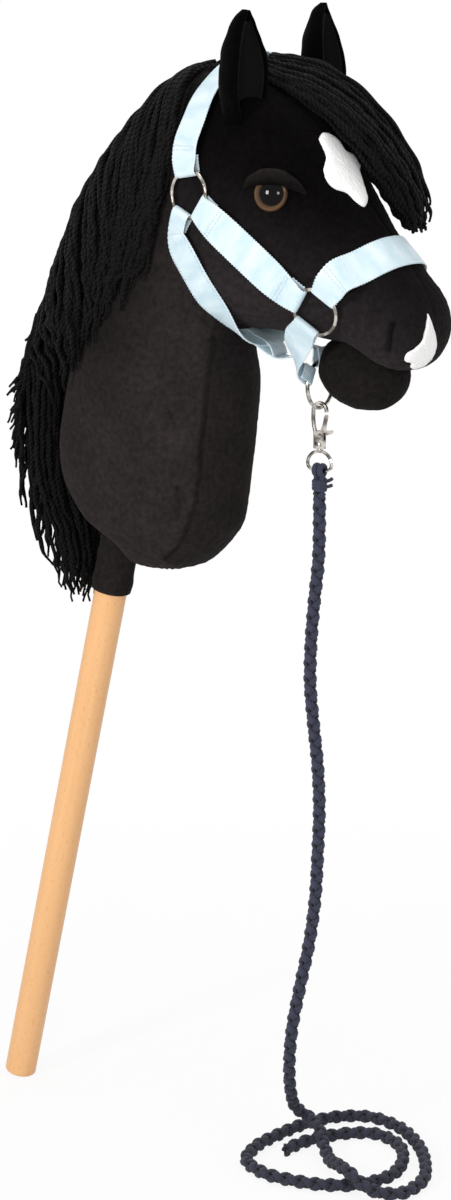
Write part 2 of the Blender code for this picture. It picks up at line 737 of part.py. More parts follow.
def fold_rows(centre, normal, outwards, on_skin=True, half_width=FOLD_HALF_WIDTH):
    """Rows of a fold over a ring: the sewn-back layer, the turn round the wire, the outer layer."""
    outwards = (outwards - normal * outwards.dot(normal)).normalized()
    sideways = normal.cross(outwards)
    rows = []
    spread = np.linspace(-1, 1, STRAP_COLUMNS)

    def row(distance, height, tilt=None):
        points = []
        widening = min(1.0, max(0.0, distance / FOLD_LENGTH))
        width = half_width + (WEBBING_WIDTH / 2 - FOLD_HALF_WIDTH) * widening * (half_width > 0.008)
        for v in spread * half_width:
            wire = centre + outwards * math.sqrt(RING_RADIUS**2 - v**2)
            along = wire + sideways * (v * width / half_width)
            points.append(along + outwards * distance + normal * height)
        return points

    rows.append(row(FOLD_LENGTH, -FOLD_RADIUS * 0.45))
    rows.append(row(FOLD_LENGTH * 0.45, -FOLD_RADIUS * 0.8))
    for turn in np.radians([-90, -48, -6, 38, 84]):
        rows.append(row(-FOLD_RADIUS * math.cos(turn), FOLD_RADIUS * math.sin(turn)))
    rows.append(row(FOLD_LENGTH * 0.45, FOLD_RADIUS * 0.9))
    rows.append(row(FOLD_LENGTH, FOLD_RADIUS * 0.55 + 0.0002))
    if on_skin:
        inner = [[lifted(p, LAY_HEIGHT) for p in points] for points in rows[:2]]
        outer = [[lifted(p, DOUBLE_HEIGHT) for p in points] for points in rows[-2:]]
        rows = inner + rows[2:-2] + outer
    return rows


def laid_rows(route, count, hang=None):
    """Rows of a strap laid along a route. Each row stays straight across, as webbing does, and is
    raised until it clears the plush; hang gives the normal where the strap hangs free."""
    middle = [lifted(p, LAY_HEIGHT) for p in smooth_path(route, count)]
    normals = [skin.find_nearest(point)[1] for point in middle]
    for _ in range(2):
        normals = [
            (normals[max(k - 1, 0)] + normals[k] * 2 + normals[min(k + 1, count - 1)]).normalized()
            for k in range(count)
        ]
    rows = []
    for k, point in enumerate(middle):
        along = (middle[min(k + 1, count - 1)] - middle[max(k - 1, 0)]).normalized()
        normal = normals[k]
        if hang:
            free, share = hang(point)
            normal = normal.lerp(free, share)
        normal = (normal - along * normal.dot(along)).normalized()
        sideways = normal.cross(along)
        for _ in range(3):
            row = [point + sideways * v * WEBBING_WIDTH / 2 for v in np.linspace(-1, 1, STRAP_COLUMNS)]
            low = max((lifted(p, LAY_HEIGHT) - p).dot(normal) for p in row)
            point = point + normal * max(0.0, low)
        rows.append(row)
    return rows


def strap(name, start_rows, middle_rows, end_rows):
    """One length of webbing through its rows; the end's rows run back from its ring."""
    rows = start_rows + middle_rows + [row[::-1] for row in end_rows[::-1]]
    return sheet(name, rows, WEBBING_THICKNESS, WEBBING)


def route_from(ring, direction, distance, height=0.0):
    centre, normal = ring
    direction = (direction - normal * direction.dot(normal)).normalized()
    return centre + direction * (RING_RADIUS + distance) + normal * height


def mirrored(point):
    return Vector((point[0], -point[1], point[2]))


AFTER_FOLD = FOLD_LENGTH + 0.007
crown_out = HEAD_ALONG * -0.71 + HEAD_ACROSS * 0.70
noseband_out = HEAD_ACROSS
throat_out = HEAD_ALONG * 0.22 - HEAD_ACROSS * 0.975

# Cheek straps, from the upper to the lower ring on each side
for word in SIDES:
    upper, lower = rings["upper", word], rings["lower", word]
    start = route_from(upper, HEAD_ALONG, AFTER_FOLD)
    end = route_from(lower, -HEAD_ALONG, AFTER_FOLD)
    strap(
        f"cheek_strap_{word}",
        fold_rows(*upper, HEAD_ALONG),
        laid_rows([start, start.lerp(end, 0.5), end], 5),
        fold_rows(*lower, -HEAD_ALONG),
    )

# Noseband, over the nose from one lower ring to the other
right_lower, left_lower = rings["lower", "right"], rings["lower", "left"]
nose_route = [route_from(right_lower, noseband_out, AFTER_FOLD)]
nose_route += [on_head(0.1220, 0.029, -0.024), on_head(0.1235, 0.035, 0.0), on_head(0.1220, 0.029, 0.024)]
nose_route += [route_from(left_lower, noseband_out, AFTER_FOLD)]
strap("noseband", fold_rows(*right_lower, noseband_out), laid_rows(nose_route, 13),
      fold_rows(*left_lower, noseband_out))

# Crown strap, over the poll behind the ears from one upper ring to the other
right_upper, left_upper = rings["upper", "right"], rings["upper", "left"]
crown_half = [on_head(-0.0385, 0.0265, -0.050), on_head(-0.0465, 0.0400, -0.043), on_head(-0.0520, 0.0540, -0.031),
              on_head(-0.0550, 0.0655, -0.018)]
crown_route = [route_from(right_upper, crown_out, AFTER_FOLD), *crown_half, on_head(-0.0550, 0.0720, 0.0)]
crown_route += [mirrored(p) for p in crown_half[::-1]] + [route_from(left_upper, crown_out, AFTER_FOLD)]
strap("crown_strap", fold_rows(*right_upper, crown_out), laid_rows(crown_route, 14),
      fold_rows(*left_upper, crown_out))
crown_cutter_rows = laid_rows(crown_route, 14)
crown_cutter = sheet("crown_strap_clearance", crown_cutter_rows, WEBBING_THICKNESS + 4 * FIT)

# Throat strap, hanging a little slack under the jowls from one upper ring to the other
THROAT_LOW = Vector((0.2355, 0.0, 0.6180))
THROAT_TILT = math.radians(24)
THROAT_FOLD_HALF_WIDTH = 0.0078
THROAT_AFTER_FOLD = FOLD_LENGTH + 0.005
throat_down = Vector((-math.sin(THROAT_TILT), 0.0, -math.cos(THROAT_TILT)))


def throat_hang(point):
    share = min(1.0, max(0.0, (0.046 - abs(point.y)) / 0.022))
    share = share * share * (3 - 2 * share)
    beside = Vector((-0.25, math.copysign(0.97, point.y), -0.10))
    return beside.lerp(throat_down, share), 0.85 + 0.15 * share


throat_half = [on_head(0.0165, -0.0510, -0.0545), on_head(0.0335, -0.0600, -0.0495), on_head(0.0505, -0.0665, -0.043),
               THROAT_LOW + Vector((-0.0015, -0.0240, 0.0030)), THROAT_LOW + Vector((0.0, -0.0110, 0.0))]
throat_route = [route_from(right_upper, throat_out, THROAT_AFTER_FOLD), *throat_half]
throat_route += [mirrored(p) for p in throat_half[::-1]]
throat_route.append(route_from(left_upper, throat_out, THROAT_AFTER_FOLD))
strap("throat_strap", fold_rows(*right_upper, throat_out, half_width=THROAT_FOLD_HALF_WIDTH),
      laid_rows(throat_route, 16, throat_hang),
      fold_rows(*left_upper, throat_out, half_width=THROAT_FOLD_HALF_WIDTH))


def hermite(start, start_pull, end, end_pull, count):
    """Inner points of a cubic between two places, each with a pull in its direction."""
    found = []
    for u in np.linspace(0, 1, count + 2)[1:-1]:
        a, b = 2 * u**3 - 3 * u**2 + 1, u**3 - 2 * u**2 + u
        c, d = 3 * u**2 - 2 * u**3, u**3 - u**2
        found.append(start * a + start_pull * b + end * c + end_pull * d)
    return found


# Chin straps, from each lower ring down to the chin ring
CHIN_FOLD_HALF_WIDTH = 0.0062
CHIN_FOLD_ANGLE = math.radians(62)
chin_ring = rings["chin", "middle"]
for word, side in SIDES.items():
    lower = rings["lower", word]
    chin_out = Vector((0.0, side * math.sin(CHIN_FOLD_ANGLE), math.cos(CHIN_FOLD_ANGLE)))
    top_rows = fold_rows(*lower, -HEAD_ACROSS)
    ring_frame = (chin_ring[0], chin_ring[1] * side)
    end_rows = fold_rows(*ring_frame, chin_out, on_skin=False, half_width=CHIN_FOLD_HALF_WIDTH)
    first = [row[:] for row in top_rows][-1]
    last = end_rows[-1][::-1]
    columns = []
    for a, b in zip(first, last):
        pull = -HEAD_ACROSS * 0.030
        columns.append(hermite(a, pull, b, -chin_out * 0.020, 3))
    middle_rows = [[column[k] for column in columns] for k in range(3)]
    strap(f"chin_strap_{word}", top_rows, middle_rows, end_rows)

# Connecting strap, looped round the throat strap and folded over the top of the chin ring
LINK_HALF_WIDTH = 0.0062
LINK_LOOP = ((0.0210, -0.0034), (0.0170, 0.0006), (0.0130, 0.0024), (0.0000, 0.0027), (-0.0136, 0.0024),
             (-0.0156, 0.0000), (-0.0136, -0.0026), (0.0000, -0.0030), (0.0130, -0.0042), (0.0240, -0.0062))
link_rows = []
for forward, above in LINK_LOOP:
    place = THROAT_LOW - throat_down * above
    place += Vector((math.cos(THROAT_TILT), 0.0, -math.sin(THROAT_TILT))) * forward
    link_rows.append([place + Vector((0.0, v * LINK_HALF_WIDTH * 1.5, 0.0)) for v in np.linspace(-1, 1, STRAP_COLUMNS)])
link_frame = (chin_ring[0], -chin_ring[1])
link_end = fold_rows(*link_frame, Vector((0.0, 0.0, 1.0)), on_skin=False, half_width=LINK_HALF_WIDTH)
strap("connecting_strap", link_rows, [], link_end)

# Mane and forelock: black yarn sewn along the crest, as closed forms with locks and ragged ends
MANE_INNER = 0.0027


# Locks of one side, from the poll back: place on the crest and of the tip on the neck's sections,
# how far round from the crest the tip lies, and how soon the lock falls to the side.
LOCKS = (
    (16.75, 11.60, 93, 3.4),
    (16.50, 11.10, 91, 3.2),
    (16.20, 11.30, 87, 2.9),
    (15.70, 10.30, 84, 2.6),
    (15.10, 10.60, 79, 2.4),
    (14.50, 9.70, 73, 2.2),
    (13.90, 9.90, 66, 2.0),
    (13.20, 9.20, 58, 1.8),
    (12.50, 9.40, 49, 1.6),
    (11.80, 8.90, 40, 1.4),
    (11.00, 8.70, 28, 1.2),
    (10.20, 8.40, 15, 1.0),
    (9.60, 8.20, 3, 1.0),
)
LOCK_ROWS = 9


def mane_thickness(index, turn):
    """How far the yarn stands out: deepest on the crest, thin over the cheek and at the poll."""
    crest = smooth_table([8, 10, 12, 14, 15, 16, 17], [[0.034], [0.036], [0.031], [0.025], [0.021], [0.016], [0.009]],
                         [index])[0, 0]
    side = max(0.0, 1 - turn / 76)
    return 0.0065 + (crest - 0.0065) * side * side * (3 - 2 * side)


def curtain(name, side):
    """The mane's fall over one side of the neck, as one thick form with locks."""
    inner, outer = [], []
    for row, step in enumerate(np.linspace(0, 1, LOCK_ROWS)):
        inner_row, outer_row = [], []
        for k, (start, tip, tip_turn, fall) in enumerate(LOCKS):
            index = start + (tip - start) * step
            turn = 2.5 + (tip_turn - 2.5) * (1 - (1 - step) ** fall)
            depth = mane_thickness(index, turn) * (1.0 if k % 2 else 0.80)
            depth *= min(1.0, 0.45 + 2.2 * (1 - step))
            depth *= 0.55 if k == 0 else 1.0
            level = index / (len(NECK_SECTIONS) - 1)
            at = np.array([side * math.radians(turn)])
            inner_row.append(neck_ring(level, MANE_INNER, turn=at)[0])
            outer_row.append(neck_ring(level, MANE_INNER + depth, turn=at)[0])
        inner.append(inner_row)
        outer.append(outer_row)
    return shell_between(name, inner, outer, YARN)


# Sections of the hanging back of the mane: height, back x, front x, half width
BACK_LOCKS = (
    (0.6650, 0.0720, 0.1030, 0.026),
    (0.6400, 0.0520, 0.0950, 0.036),
    (0.6100, 0.0390, 0.0860, 0.040),
    (0.5800, 0.0290, 0.0780, 0.041),
    (0.5500, 0.0225, 0.0740, 0.040),
    (0.5200, 0.0210, 0.0720, 0.038),
    (0.4900, 0.0220, 0.0750, 0.034),
    (0.4600, 0.0290, 0.0840, 0.029),
    (0.4330, 0.0440, 0.0845, 0.022),
    (0.4090, 0.0620, 0.0800, 0.013),
)


def back_shape(name, extra, finish=None):
    table = np.array(BACK_LOCKS)
    rings = []
    for level in np.linspace(0, len(table) - 1, 12):
        z, back, front, half_width = smooth_table(np.arange(len(table)), table, [level])[0]
        ring = []
        for k, turn in enumerate(np.linspace(0, 2 * np.pi, 20, endpoint=False)):
            lock = 1 - 0.07 * (k % 2)
            x = (back + front) / 2 - ((front - back) / 2 * lock + extra) * math.cos(turn)
            ring.append((x, (half_width * lock + extra) * math.sin(turn), z))
        rings.append(ring)
    return loft(name, rings, (0.091, 0.0, 0.672), (0.073, 0.0, 0.397), finish)


mane_back = back_shape("mane_back", 0.0, YARN)
mane_back_cutter = back_shape("mane_back_cutter", 6 * FIT)
cut(mane_back, neck_cutter)
for word, side in SIDES.items():
    mane = curtain(f"mane_{word}", side)
    cut(mane, head_cutter, mane_back_cutter, crown_cutter)

# Sections of the forelock: along, across, sideways, half width, half thickness
FORELOCK = (
    (-0.0400, 0.0765, 0.0000, 0.0100, 0.0050),
    (-0.0290, 0.0800, 0.0040, 0.0150, 0.0080),
    (-0.0080, 0.0850, 0.0130, 0.0200, 0.0130),
    (0.0200, 0.0835, 0.0225, 0.0225, 0.0165),
    (0.0490, 0.0755, 0.0310, 0.0225, 0.0175),
    (0.0760, 0.0650, 0.0375, 0.0195, 0.0160),
    (0.0970, 0.0530, 0.0420, 0.0140, 0.0120),
    (0.1110, 0.0450, 0.0440, 0.0080, 0.0070),
)
lock_rows = smooth_table(np.arange(len(FORELOCK)), np.array(FORELOCK), np.linspace(0, len(FORELOCK) - 1, 10))
lock_middles = [on_head(*row[:3]) for row in lock_rows]
forelock_rings = []
for k, row in enumerate(lock_rows):
    along = (lock_middles[min(k + 1, 9)] - lock_middles[max(k - 1, 0)]).normalized()
    outward_here = (HEAD_ACROSS + Vector((0.0, row[2] * 14, 0.0))).normalized()
    outward_here = (outward_here - along * outward_here.dot(along)).normalized()
    sideways = along.cross(outward_here)
    ring = []
    for j, turn in enumerate(np.linspace(0, 2 * np.pi, 16, endpoint=False)):
        lock = 1 - 0.08 * (j % 2)
        ring.append(
            lock_middles[k]
            + sideways * row[3] * lock * math.cos(turn)
            + outward_here * row[4] * lock * math.sin(turn)
        )
    forelock_rings.append(ring)
forelock = loft("forelock", forelock_rings, on_head(-0.0430, 0.0750, 0.0), on_head(0.1160, 0.0405, 0.0450), YARN)
cut(forelock, head_cutter, ear_clearances[LEFT])

# Lead snap: a cast trigger hook on the chin ring's lowest point, in the upright middle plane
SNAP_PIVOT = CHIN_RING_CENTRE - Vector((0.0, 0.0, RING_RADIUS))
HOOK_WIRE = 0.0015
BOW_RADIUS = 0.0056
BOW_CENTRE = (0.0, -0.0023)
SNAP_HALF_THICKNESS = 0.0022
RIVET_PLACE = (0.0009, -0.0200)
RIVET_RADIUS = 0.0010
RIVET_SIDES = 12


def in_snap(x, z, y=0.0):
    return SNAP_PIVOT + Vector((x, y, z))


def box(name, low, high, finish=None, bevel=0.0):
    """Box between two corners, with eased edges where a bevel is given."""
    work = bmesh.new()
    bmesh.ops.create_cube(work, size=1.0)
    size = Vector(high) - Vector(low)
    bmesh.ops.scale(work, vec=size, verts=work.verts)
    bmesh.ops.translate(work, vec=(Vector(low) + Vector(high)) / 2, verts=work.verts)
    if bevel:
        bmesh.ops.bevel(work, geom=work.edges[:], offset=bevel, segments=2, affect="EDGES", profile=0.5)
    mesh = bpy.data.meshes.new(name)
    work.to_mesh(mesh)
    work.free()
    return add_object(name, mesh, finish)


def crossways(place):
    """Matrix that stands a turned piece's axis along Y at a place."""
    return Matrix.Translation(place) @ Matrix.Rotation(math.radians(90), 4, "X")


bow = [
    in_snap(BOW_CENTRE[0] + BOW_RADIUS * math.cos(a), BOW_CENTRE[1] + BOW_RADIUS * math.sin(a))
    for a in np.radians(np.arange(-6, 181, 17))
]
bow += [in_snap(-0.0056, -0.0080), in_snap(-0.0050, -0.0130), in_snap(-0.0036, -0.0180), in_snap(-0.0030, -0.0200)]
snap_body = tube("snap_body", bow, HOOK_WIRE, NICKEL)
snap_block = box(
    "snap_block",
    in_snap(-0.0044, -0.0295, -SNAP_HALF_THICKNESS),
    in_snap(0.0042, -0.0165, SNAP_HALF_THICKNESS),
    bevel=0.0008,
)
gate_slot = box("gate_slot", in_snap(-0.0016, -0.0230, -0.0011), in_snap(0.0080, -0.0100, 0.0011))
swivel_window = box("swivel_window", in_snap(-0.0026, -0.0274, -0.0050), in_snap(0.0026, -0.0244, 0.0050))
POST_RADIUS = 0.0012
post_hole = turned(
    "post_hole",
    [(0.0, -0.0260), (POST_RADIUS + 0.0001, -0.0260), (POST_RADIUS + 0.0001, -0.0320), (0.0, -0.0320)],
    RIVET_SIDES,
    Matrix.Translation(SNAP_PIVOT),
)
rivet_hole = turned(
    "rivet_hole",
    [(0.0, 0.006), (RIVET_RADIUS + 0.00006, 0.006), (RIVET_RADIUS + 0.00006, -0.006), (0.0, -0.006)],
    RIVET_SIDES,
    crossways(in_snap(*RIVET_PLACE)),
)
cut(snap_body, snap_block, operation="UNION")
cut(snap_body, gate_slot, swivel_window, post_hole, rivet_hole)

RIVET_HEAD = 0.0017
turned(
    "gate_rivet",
    [
        (0.0, 0.0031),
        (RIVET_HEAD * 0.75, 0.0030),
        (RIVET_HEAD, 0.0025),
        (RIVET_RADIUS, 0.0025),
        (RIVET_RADIUS, -0.0025),
        (RIVET_HEAD, -0.0025),
        (RIVET_HEAD * 0.75, -0.0030),
        (0.0, -0.0031),
    ],
    RIVET_SIDES,
    crossways(in_snap(*RIVET_PLACE)),
    NICKEL,
)


def plate(name, outline, half_thickness, finish=None, bevel=0.0):
    """Flat piece in the snap's plane from an outline of (x, z) points."""
    curve = bpy.data.curves.new(name, "CURVE")
    curve.dimensions = "2D"
    curve.fill_mode = "BOTH"
    curve.extrude = half_thickness
    run = curve.splines.new("POLY")
    run.points.add(len(outline) - 1)
    for k, (x, z) in enumerate(outline):
        run.points[k].co = (x, z, 0.0, 1.0)
    run.use_cyclic_u = True
    made = bpy.data.objects.new(name, curve)
    bpy.context.scene.collection.objects.link(made)
    bpy.context.view_layer.update()
    mesh = bpy.data.meshes.new_from_object(made.evaluated_get(bpy.context.evaluated_depsgraph_get()))
    bpy.data.objects.remove(made)
    work = bmesh.new()
    work.from_mesh(mesh)
    bmesh.ops.remove_doubles(work, verts=work.verts, dist=0.00001)
    bmesh.ops.transform(work, matrix=crossways(SNAP_PIVOT), verts=work.verts)
    face_out(work)
    work.to_mesh(mesh)
    work.free()
    mesh.materials.clear()
    return add_object(name, mesh, finish)


# Gate: a sprung plate on the rivet, its arm closing the bow and its thumb lever standing out
gate_outline = [(RIVET_PLACE[0] + 0.0021 * math.cos(a), RIVET_PLACE[1] + 0.0021 * math.sin(a))
                for a in np.radians([200, 230, 260, 290, 320])]
gate_outline += [(0.0050, -0.0196), (0.0098, -0.0180), (0.0112, -0.0166), (0.0104, -0.0154), (0.0086, -0.0156),
                 (0.0050, -0.0158), (0.0053, -0.0120), (0.0066, -0.0062), (0.0062, -0.0047), (0.0046, -0.0047),
                 (0.0040, -0.0062), (0.0024, -0.0130), (-0.0004, -0.0184)]
snap_gate = plate("snap_gate", gate_outline, 0.0008, NICKEL)
gate_bore = turned(
    "gate_bore",
    [(0.0, 0.004), (RIVET_RADIUS + 0.00008, 0.004), (RIVET_RADIUS + 0.00008, -0.004), (0.0, -0.004)],
    RIVET_SIDES,
    crossways(in_snap(*RIVET_PLACE)),
)
cut(snap_gate, gate_bore)

# Swivel loop: a wire D hanging from a headed post that turns in the snap's foot
LOOP_WIRE = 0.0012
loop_route = [(0.0, -0.0312), (0.0048, -0.0322), (0.0082, -0.0350), (0.0100, -0.0390), (0.0095, -0.0427),
              (0.0070, -0.0445), (0.0, -0.0447)]
loop_route += [(-x, z) for x, z in loop_route[-2:0:-1]]
closed_route = loop_route[-1:] + loop_route + loop_route[:2]
loop_points = smooth_path([in_snap(x, z) for x, z in closed_route], 30)
loop_start = np.array(in_snap(*loop_route[0]))
first = np.argmin(np.linalg.norm(loop_points[:8] - loop_start, axis=1))
last = len(loop_points) - 8 + np.argmin(np.linalg.norm(loop_points[-8:] - loop_start, axis=1))
swivel_loop = tube("swivel_loop", loop_points[first:last], LOOP_WIRE, NICKEL, cyclic=True, sides=6)
swivel_post = turned(
    "swivel_post",
    [
        (0.0, -0.0250),
        (0.0019, -0.0252),
        (0.0021, -0.0262),
        (0.0019, -0.0270),
        (POST_RADIUS, -0.0270),
        (POST_RADIUS, -0.0299),
        (0.0022, -0.0299),
        (0.0022, -0.0312),
        (0.0016, -0.0320),
        (0.0, -0.0320),
    ],
    RIVET_SIDES,
    Matrix.Translation(SNAP_PIVOT),
)
cut(swivel_loop, swivel_post, operation="UNION")

# Rope hitch: the braid's end passed round the loop's bar and bound, as one piece with its whipping
HITCH_FOOT = -0.0610
HITCH_RADIUS = 0.0058
bar_height = loop_route[6][1]
eye_route = [(0.0021, -0.0590), (0.0024, -0.0530), (0.0034, -0.0480)]
eye_route += [(0.0036 * math.cos(a), bar_height + 0.0036 * math.sin(a)) for a in np.radians([0, 30, 60, 90])]
eye_route += [(-y, z) for y, z in eye_route[-2::-1]]
hitch_rings = []
for k, (y, z) in enumerate(eye_route):
    before, after = eye_route[max(k - 1, 0)], eye_route[min(k + 1, len(eye_route) - 1)]
    along = Vector((0.0, after[0] - before[0], after[1] - before[1])).normalized()
    outward_here = Vector((0.0, along.z, -along.y))
    narrow = 0.0019
    wide = 0.0044
    hitch_rings.append(
        [
            in_snap(wide * math.cos(a), z, y) + outward_here * narrow * math.sin(a)
            for a in np.linspace(0, 2 * np.pi, 10, endpoint=False)
        ]
    )
rope_hitch = loft(
    "rope_hitch",
    hitch_rings,
    in_snap(0.0, eye_route[0][1] - 0.0002, eye_route[0][0]),
    in_snap(0.0, eye_route[-1][1] - 0.0002, eye_route[-1][0]),
    ROPE,
)
whipping = turned(
    "whipping",
    [
        (0.0, -0.0505),
        (0.0046, -0.0505),
        (HITCH_RADIUS, -0.0525),
        (HITCH_RADIUS, HITCH_FOOT + 0.0006),
        (HITCH_RADIUS - 0.0006, HITCH_FOOT),
        (0.0, HITCH_FOOT),
    ],
    20,
    Matrix.Translation(SNAP_PIVOT),
)
cut(rope_hitch, whipping, operation="UNION")

# Lead rope: braided cord that hangs from the snap and lies in loose loops on the floor.
# The route's points are chosen by hand from where it hangs and lies, in metres.
FLOOR = -STICK_DIAMETER / 2 * math.sin(STICK_LEAN)
ROPE_LIE = FLOOR + ROPE_DIAMETER / 2 + FIT
ROPE_PIVOT = in_snap(0.0, HITCH_FOOT - FIT - ROPE_DIAMETER / 2)
ROPE_ROUTE = (
    (0.2875, 0.0000, 0.5102),
    (0.2875, 0.0003, 0.4950),
    (0.2865, 0.0010, 0.4600),
    (0.2845, -0.0010, 0.4300),
    (0.2828, -0.0022, 0.4000),
    (0.2825, -0.0025, 0.3700),
    (0.2845, -0.0010, 0.3400),
    (0.2872, 0.0010, 0.3080),
    (0.2885, 0.0018, 0.2750),
    (0.2878, 0.0013, 0.2400),
    (0.2865, 0.0003, 0.2050),
    (0.2830, -0.0020, 0.1700),
    (0.2775, -0.0058, 0.1350),
    (0.2720, -0.0080, 0.1000),
    (0.2680, -0.0050, 0.0700),
    (0.2630, 0.0050, 0.0440),
    (0.2590, 0.0190, 0.0250),
    (0.2620, 0.0300, 0.0150),
    (0.2750, 0.0230, 0.0140),
    (0.2910, 0.0080, 0.0070),
    (0.3070, -0.0080, 0.0050),
    (0.3230, -0.0220, 0.0110),
    (0.3410, -0.0330, 0.0130),
    (0.3610, -0.0350, 0.0060),
    (0.3760, -0.0220, ROPE_LIE),
    (0.3790, 0.0050, ROPE_LIE),
    (0.3650, 0.0340, ROPE_LIE),
    (0.3410, 0.0610, ROPE_LIE),
    (0.3130, 0.0780, ROPE_LIE),
    (0.2870, 0.0800, ROPE_LIE),
    (0.2650, 0.0640, ROPE_LIE),
    (0.2530, 0.0400, ROPE_LIE),
    (0.2470, 0.0120, ROPE_LIE),
    (0.2450, -0.0160, ROPE_LIE),
    (0.2530, -0.0400, ROPE_LIE),
    (0.2750, -0.0500, ROPE_LIE),
    (0.3010, -0.0480, ROPE_LIE),
    (0.3250, -0.0400, ROPE_LIE),
    (0.3450, -0.0240, ROPE_LIE),
    (0.3550, 0.0020, ROPE_LIE),
    (0.3480, 0.0300, ROPE_LIE),
    (0.3300, 0.0510, ROPE_LIE),
    (0.3070, 0.0560, ROPE_LIE),
    (0.2890, 0.0440, ROPE_LIE),
    (0.2770, 0.0270, ROPE_LIE),
    (0.2690, 0.0080, ROPE_LIE),
    (0.2670, -0.0080, ROPE_LIE),
)
ROPE_POINTS = 64
rope_points = smooth_path(ROPE_ROUTE, ROPE_POINTS)
rope_points = np.array([[*p[:2], max(p[2], ROPE_LIE)] for p in rope_points])
rope_radii = [1.0] * ROPE_POINTS
round_top = [(0.0, 0.35), (0.0012, 0.68), (0.0028, 0.90)]
top = np.array(ROPE_PIVOT) + np.array([0.0, 0.0, ROPE_DIAMETER / 2])
top_points = [top - np.array([0.0, 0.0, depth]) for depth, _ in round_top]
rope_points = np.array([*top_points, *rope_points])
rope_radii = [radius for _, radius in round_top] + rope_radii
tube("lead_rope", rope_points, ROPE_DIAMETER / 2, ROPE, radii=rope_radii, sides=8)
rope_length = np.linalg.norm(np.diff(rope_points, axis=0), axis=1).sum()
print(f"lead rope length {rope_length:.3f} m")

# Each moving group hangs on an empty that sits on its joint's axis
rivet = in_snap(*RIVET_PLACE)
MOVING = (
    ("snap_swing_axis", SNAP_PIVOT, None, ("snap_body", "gate_rivet")),
    ("gate_axis", rivet, "snap_swing_axis", ("snap_gate",)),
    ("swivel_axis", Vector((SNAP_PIVOT[0], 0.0, ROPE_PIVOT[2] + 0.03)), "snap_swing_axis",
     ("swivel_loop", "rope_hitch")),
    ("rope_hang_axis", Vector(ROPE_PIVOT), "snap_swing_axis", ("lead_rope",)),
)
for name, place, parent, nodes in MOVING:
    axis = bpy.data.objects.new(name, None)
    axis.empty_display_size = 0.01
    parts.objects.link(axis)
    axis.matrix_world = Matrix.Translation(place)
    if parent:
        axis.parent = bpy.data.objects[parent]
        axis.matrix_parent_inverse = bpy.data.objects[parent].matrix_basis.inverted()
    for node in nodes:
        made = bpy.data.objects[node]
        made.parent = axis
        made.matrix_parent_inverse = Matrix.Translation(-place)
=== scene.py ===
"""Looks of the hobby horse: a stuffed plush horse's head and neck on a round beech stick, in a light
blue webbing halter with nickel rings, and a braided lead rope on a trigger snap.

Metres, +Z up, the horse faces +X and its left side is +Y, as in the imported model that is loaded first.
"""

import math

import bpy
import numpy as np
from mathutils import Matrix, Vector
from mathutils.bvhtree import BVHTree


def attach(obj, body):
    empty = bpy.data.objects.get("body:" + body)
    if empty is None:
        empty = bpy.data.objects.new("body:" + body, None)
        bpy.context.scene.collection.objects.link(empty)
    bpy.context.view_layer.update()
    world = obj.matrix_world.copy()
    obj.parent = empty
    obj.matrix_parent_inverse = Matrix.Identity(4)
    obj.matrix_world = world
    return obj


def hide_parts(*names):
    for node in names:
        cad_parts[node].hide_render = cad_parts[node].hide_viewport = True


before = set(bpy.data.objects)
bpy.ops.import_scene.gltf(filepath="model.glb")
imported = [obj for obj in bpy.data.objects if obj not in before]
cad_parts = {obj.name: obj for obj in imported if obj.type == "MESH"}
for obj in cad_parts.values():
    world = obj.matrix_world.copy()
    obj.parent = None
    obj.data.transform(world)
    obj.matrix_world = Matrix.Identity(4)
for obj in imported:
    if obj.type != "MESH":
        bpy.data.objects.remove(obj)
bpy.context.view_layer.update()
chance = np.random.default_rng(7)

# Camera
# The photograph looks at the horse's right front from 35 degrees round and 12.5 degrees above, with a
# long lens from 2 metres off.
CAMERA_PLACE = Vector((1.240935, -1.478451, 0.821163))
CAMERA_ROUND = math.radians(35)
CAMERA_ABOVE = math.radians(12.5)
backwards = Vector((
    math.sin(CAMERA_ROUND) * math.cos(CAMERA_ABOVE),
    -math.cos(CAMERA_ROUND) * math.cos(CAMERA_ABOVE),
    math.sin(CAMERA_ABOVE),
))
rightwards = Vector((math.cos(CAMERA_ROUND), math.sin(CAMERA_ROUND), 0.0))
upwards = backwards.cross(rightwards)
camera = bpy.data.objects.new("camera", bpy.data.cameras.new("camera"))
camera.data.lens = 75
camera.data.sensor_width = 36
camera.data.clip_end = 50
camera.matrix_world = (
    Matrix.Translation(CAMERA_PLACE) @ Matrix((rightwards, upwards, backwards)).transposed().to_4x4()
)
bpy.context.scene.collection.objects.link(camera)
bpy.context.scene.camera = camera
bpy.context.scene.view_settings.view_transform = "Standard"


# Studio
# A white paper sweep under soft boxes: two in front, whose reflections show in the eye, a weak one to
# the right and one overhead. Camera, mirror and glass rays see plain white; the floor keeps a faint shadow.
def colour(code):
    """Linear colour from an sRGB hex code."""
    part = np.array([int(code[k : k + 2], 16) for k in (1, 3, 5)]) / 255
    linear = np.where(part <= 0.04045, part / 12.92, ((part + 0.055) / 1.055) ** 2.4)
    return (*linear.tolist(), 1.0)


def add_node(tree, kind, inputs=None, **settings):
    """Add one shader node with its settings. An input given as a node is linked to that node's first
    output in use, one given as a socket to that socket, and any other is set. By number, a Mix takes its
    share as 0, and two colours as 6 and 7 or two values as 2 and 3; a Map Range turns 1 to 2 into 3 to 4."""
    made = tree.nodes.new(f"ShaderNode{kind}")
    for name, value in settings.items():
        setattr(made, name, value)
    for key, value in (inputs or {}).items():
        if isinstance(value, bpy.types.Node):
            value = next(socket for socket in value.outputs if socket.enabled)
        if isinstance(value, bpy.types.NodeSocket):
            tree.links.new(value, made.inputs[key])
        else:
            made.inputs[key].default_value = value
    return made


def new_finish(name):
    """An empty material and its node tree."""
    made = bpy.data.materials.new(name)
    made.use_nodes = True
    made.node_tree.nodes.clear()
    return made, made.node_tree


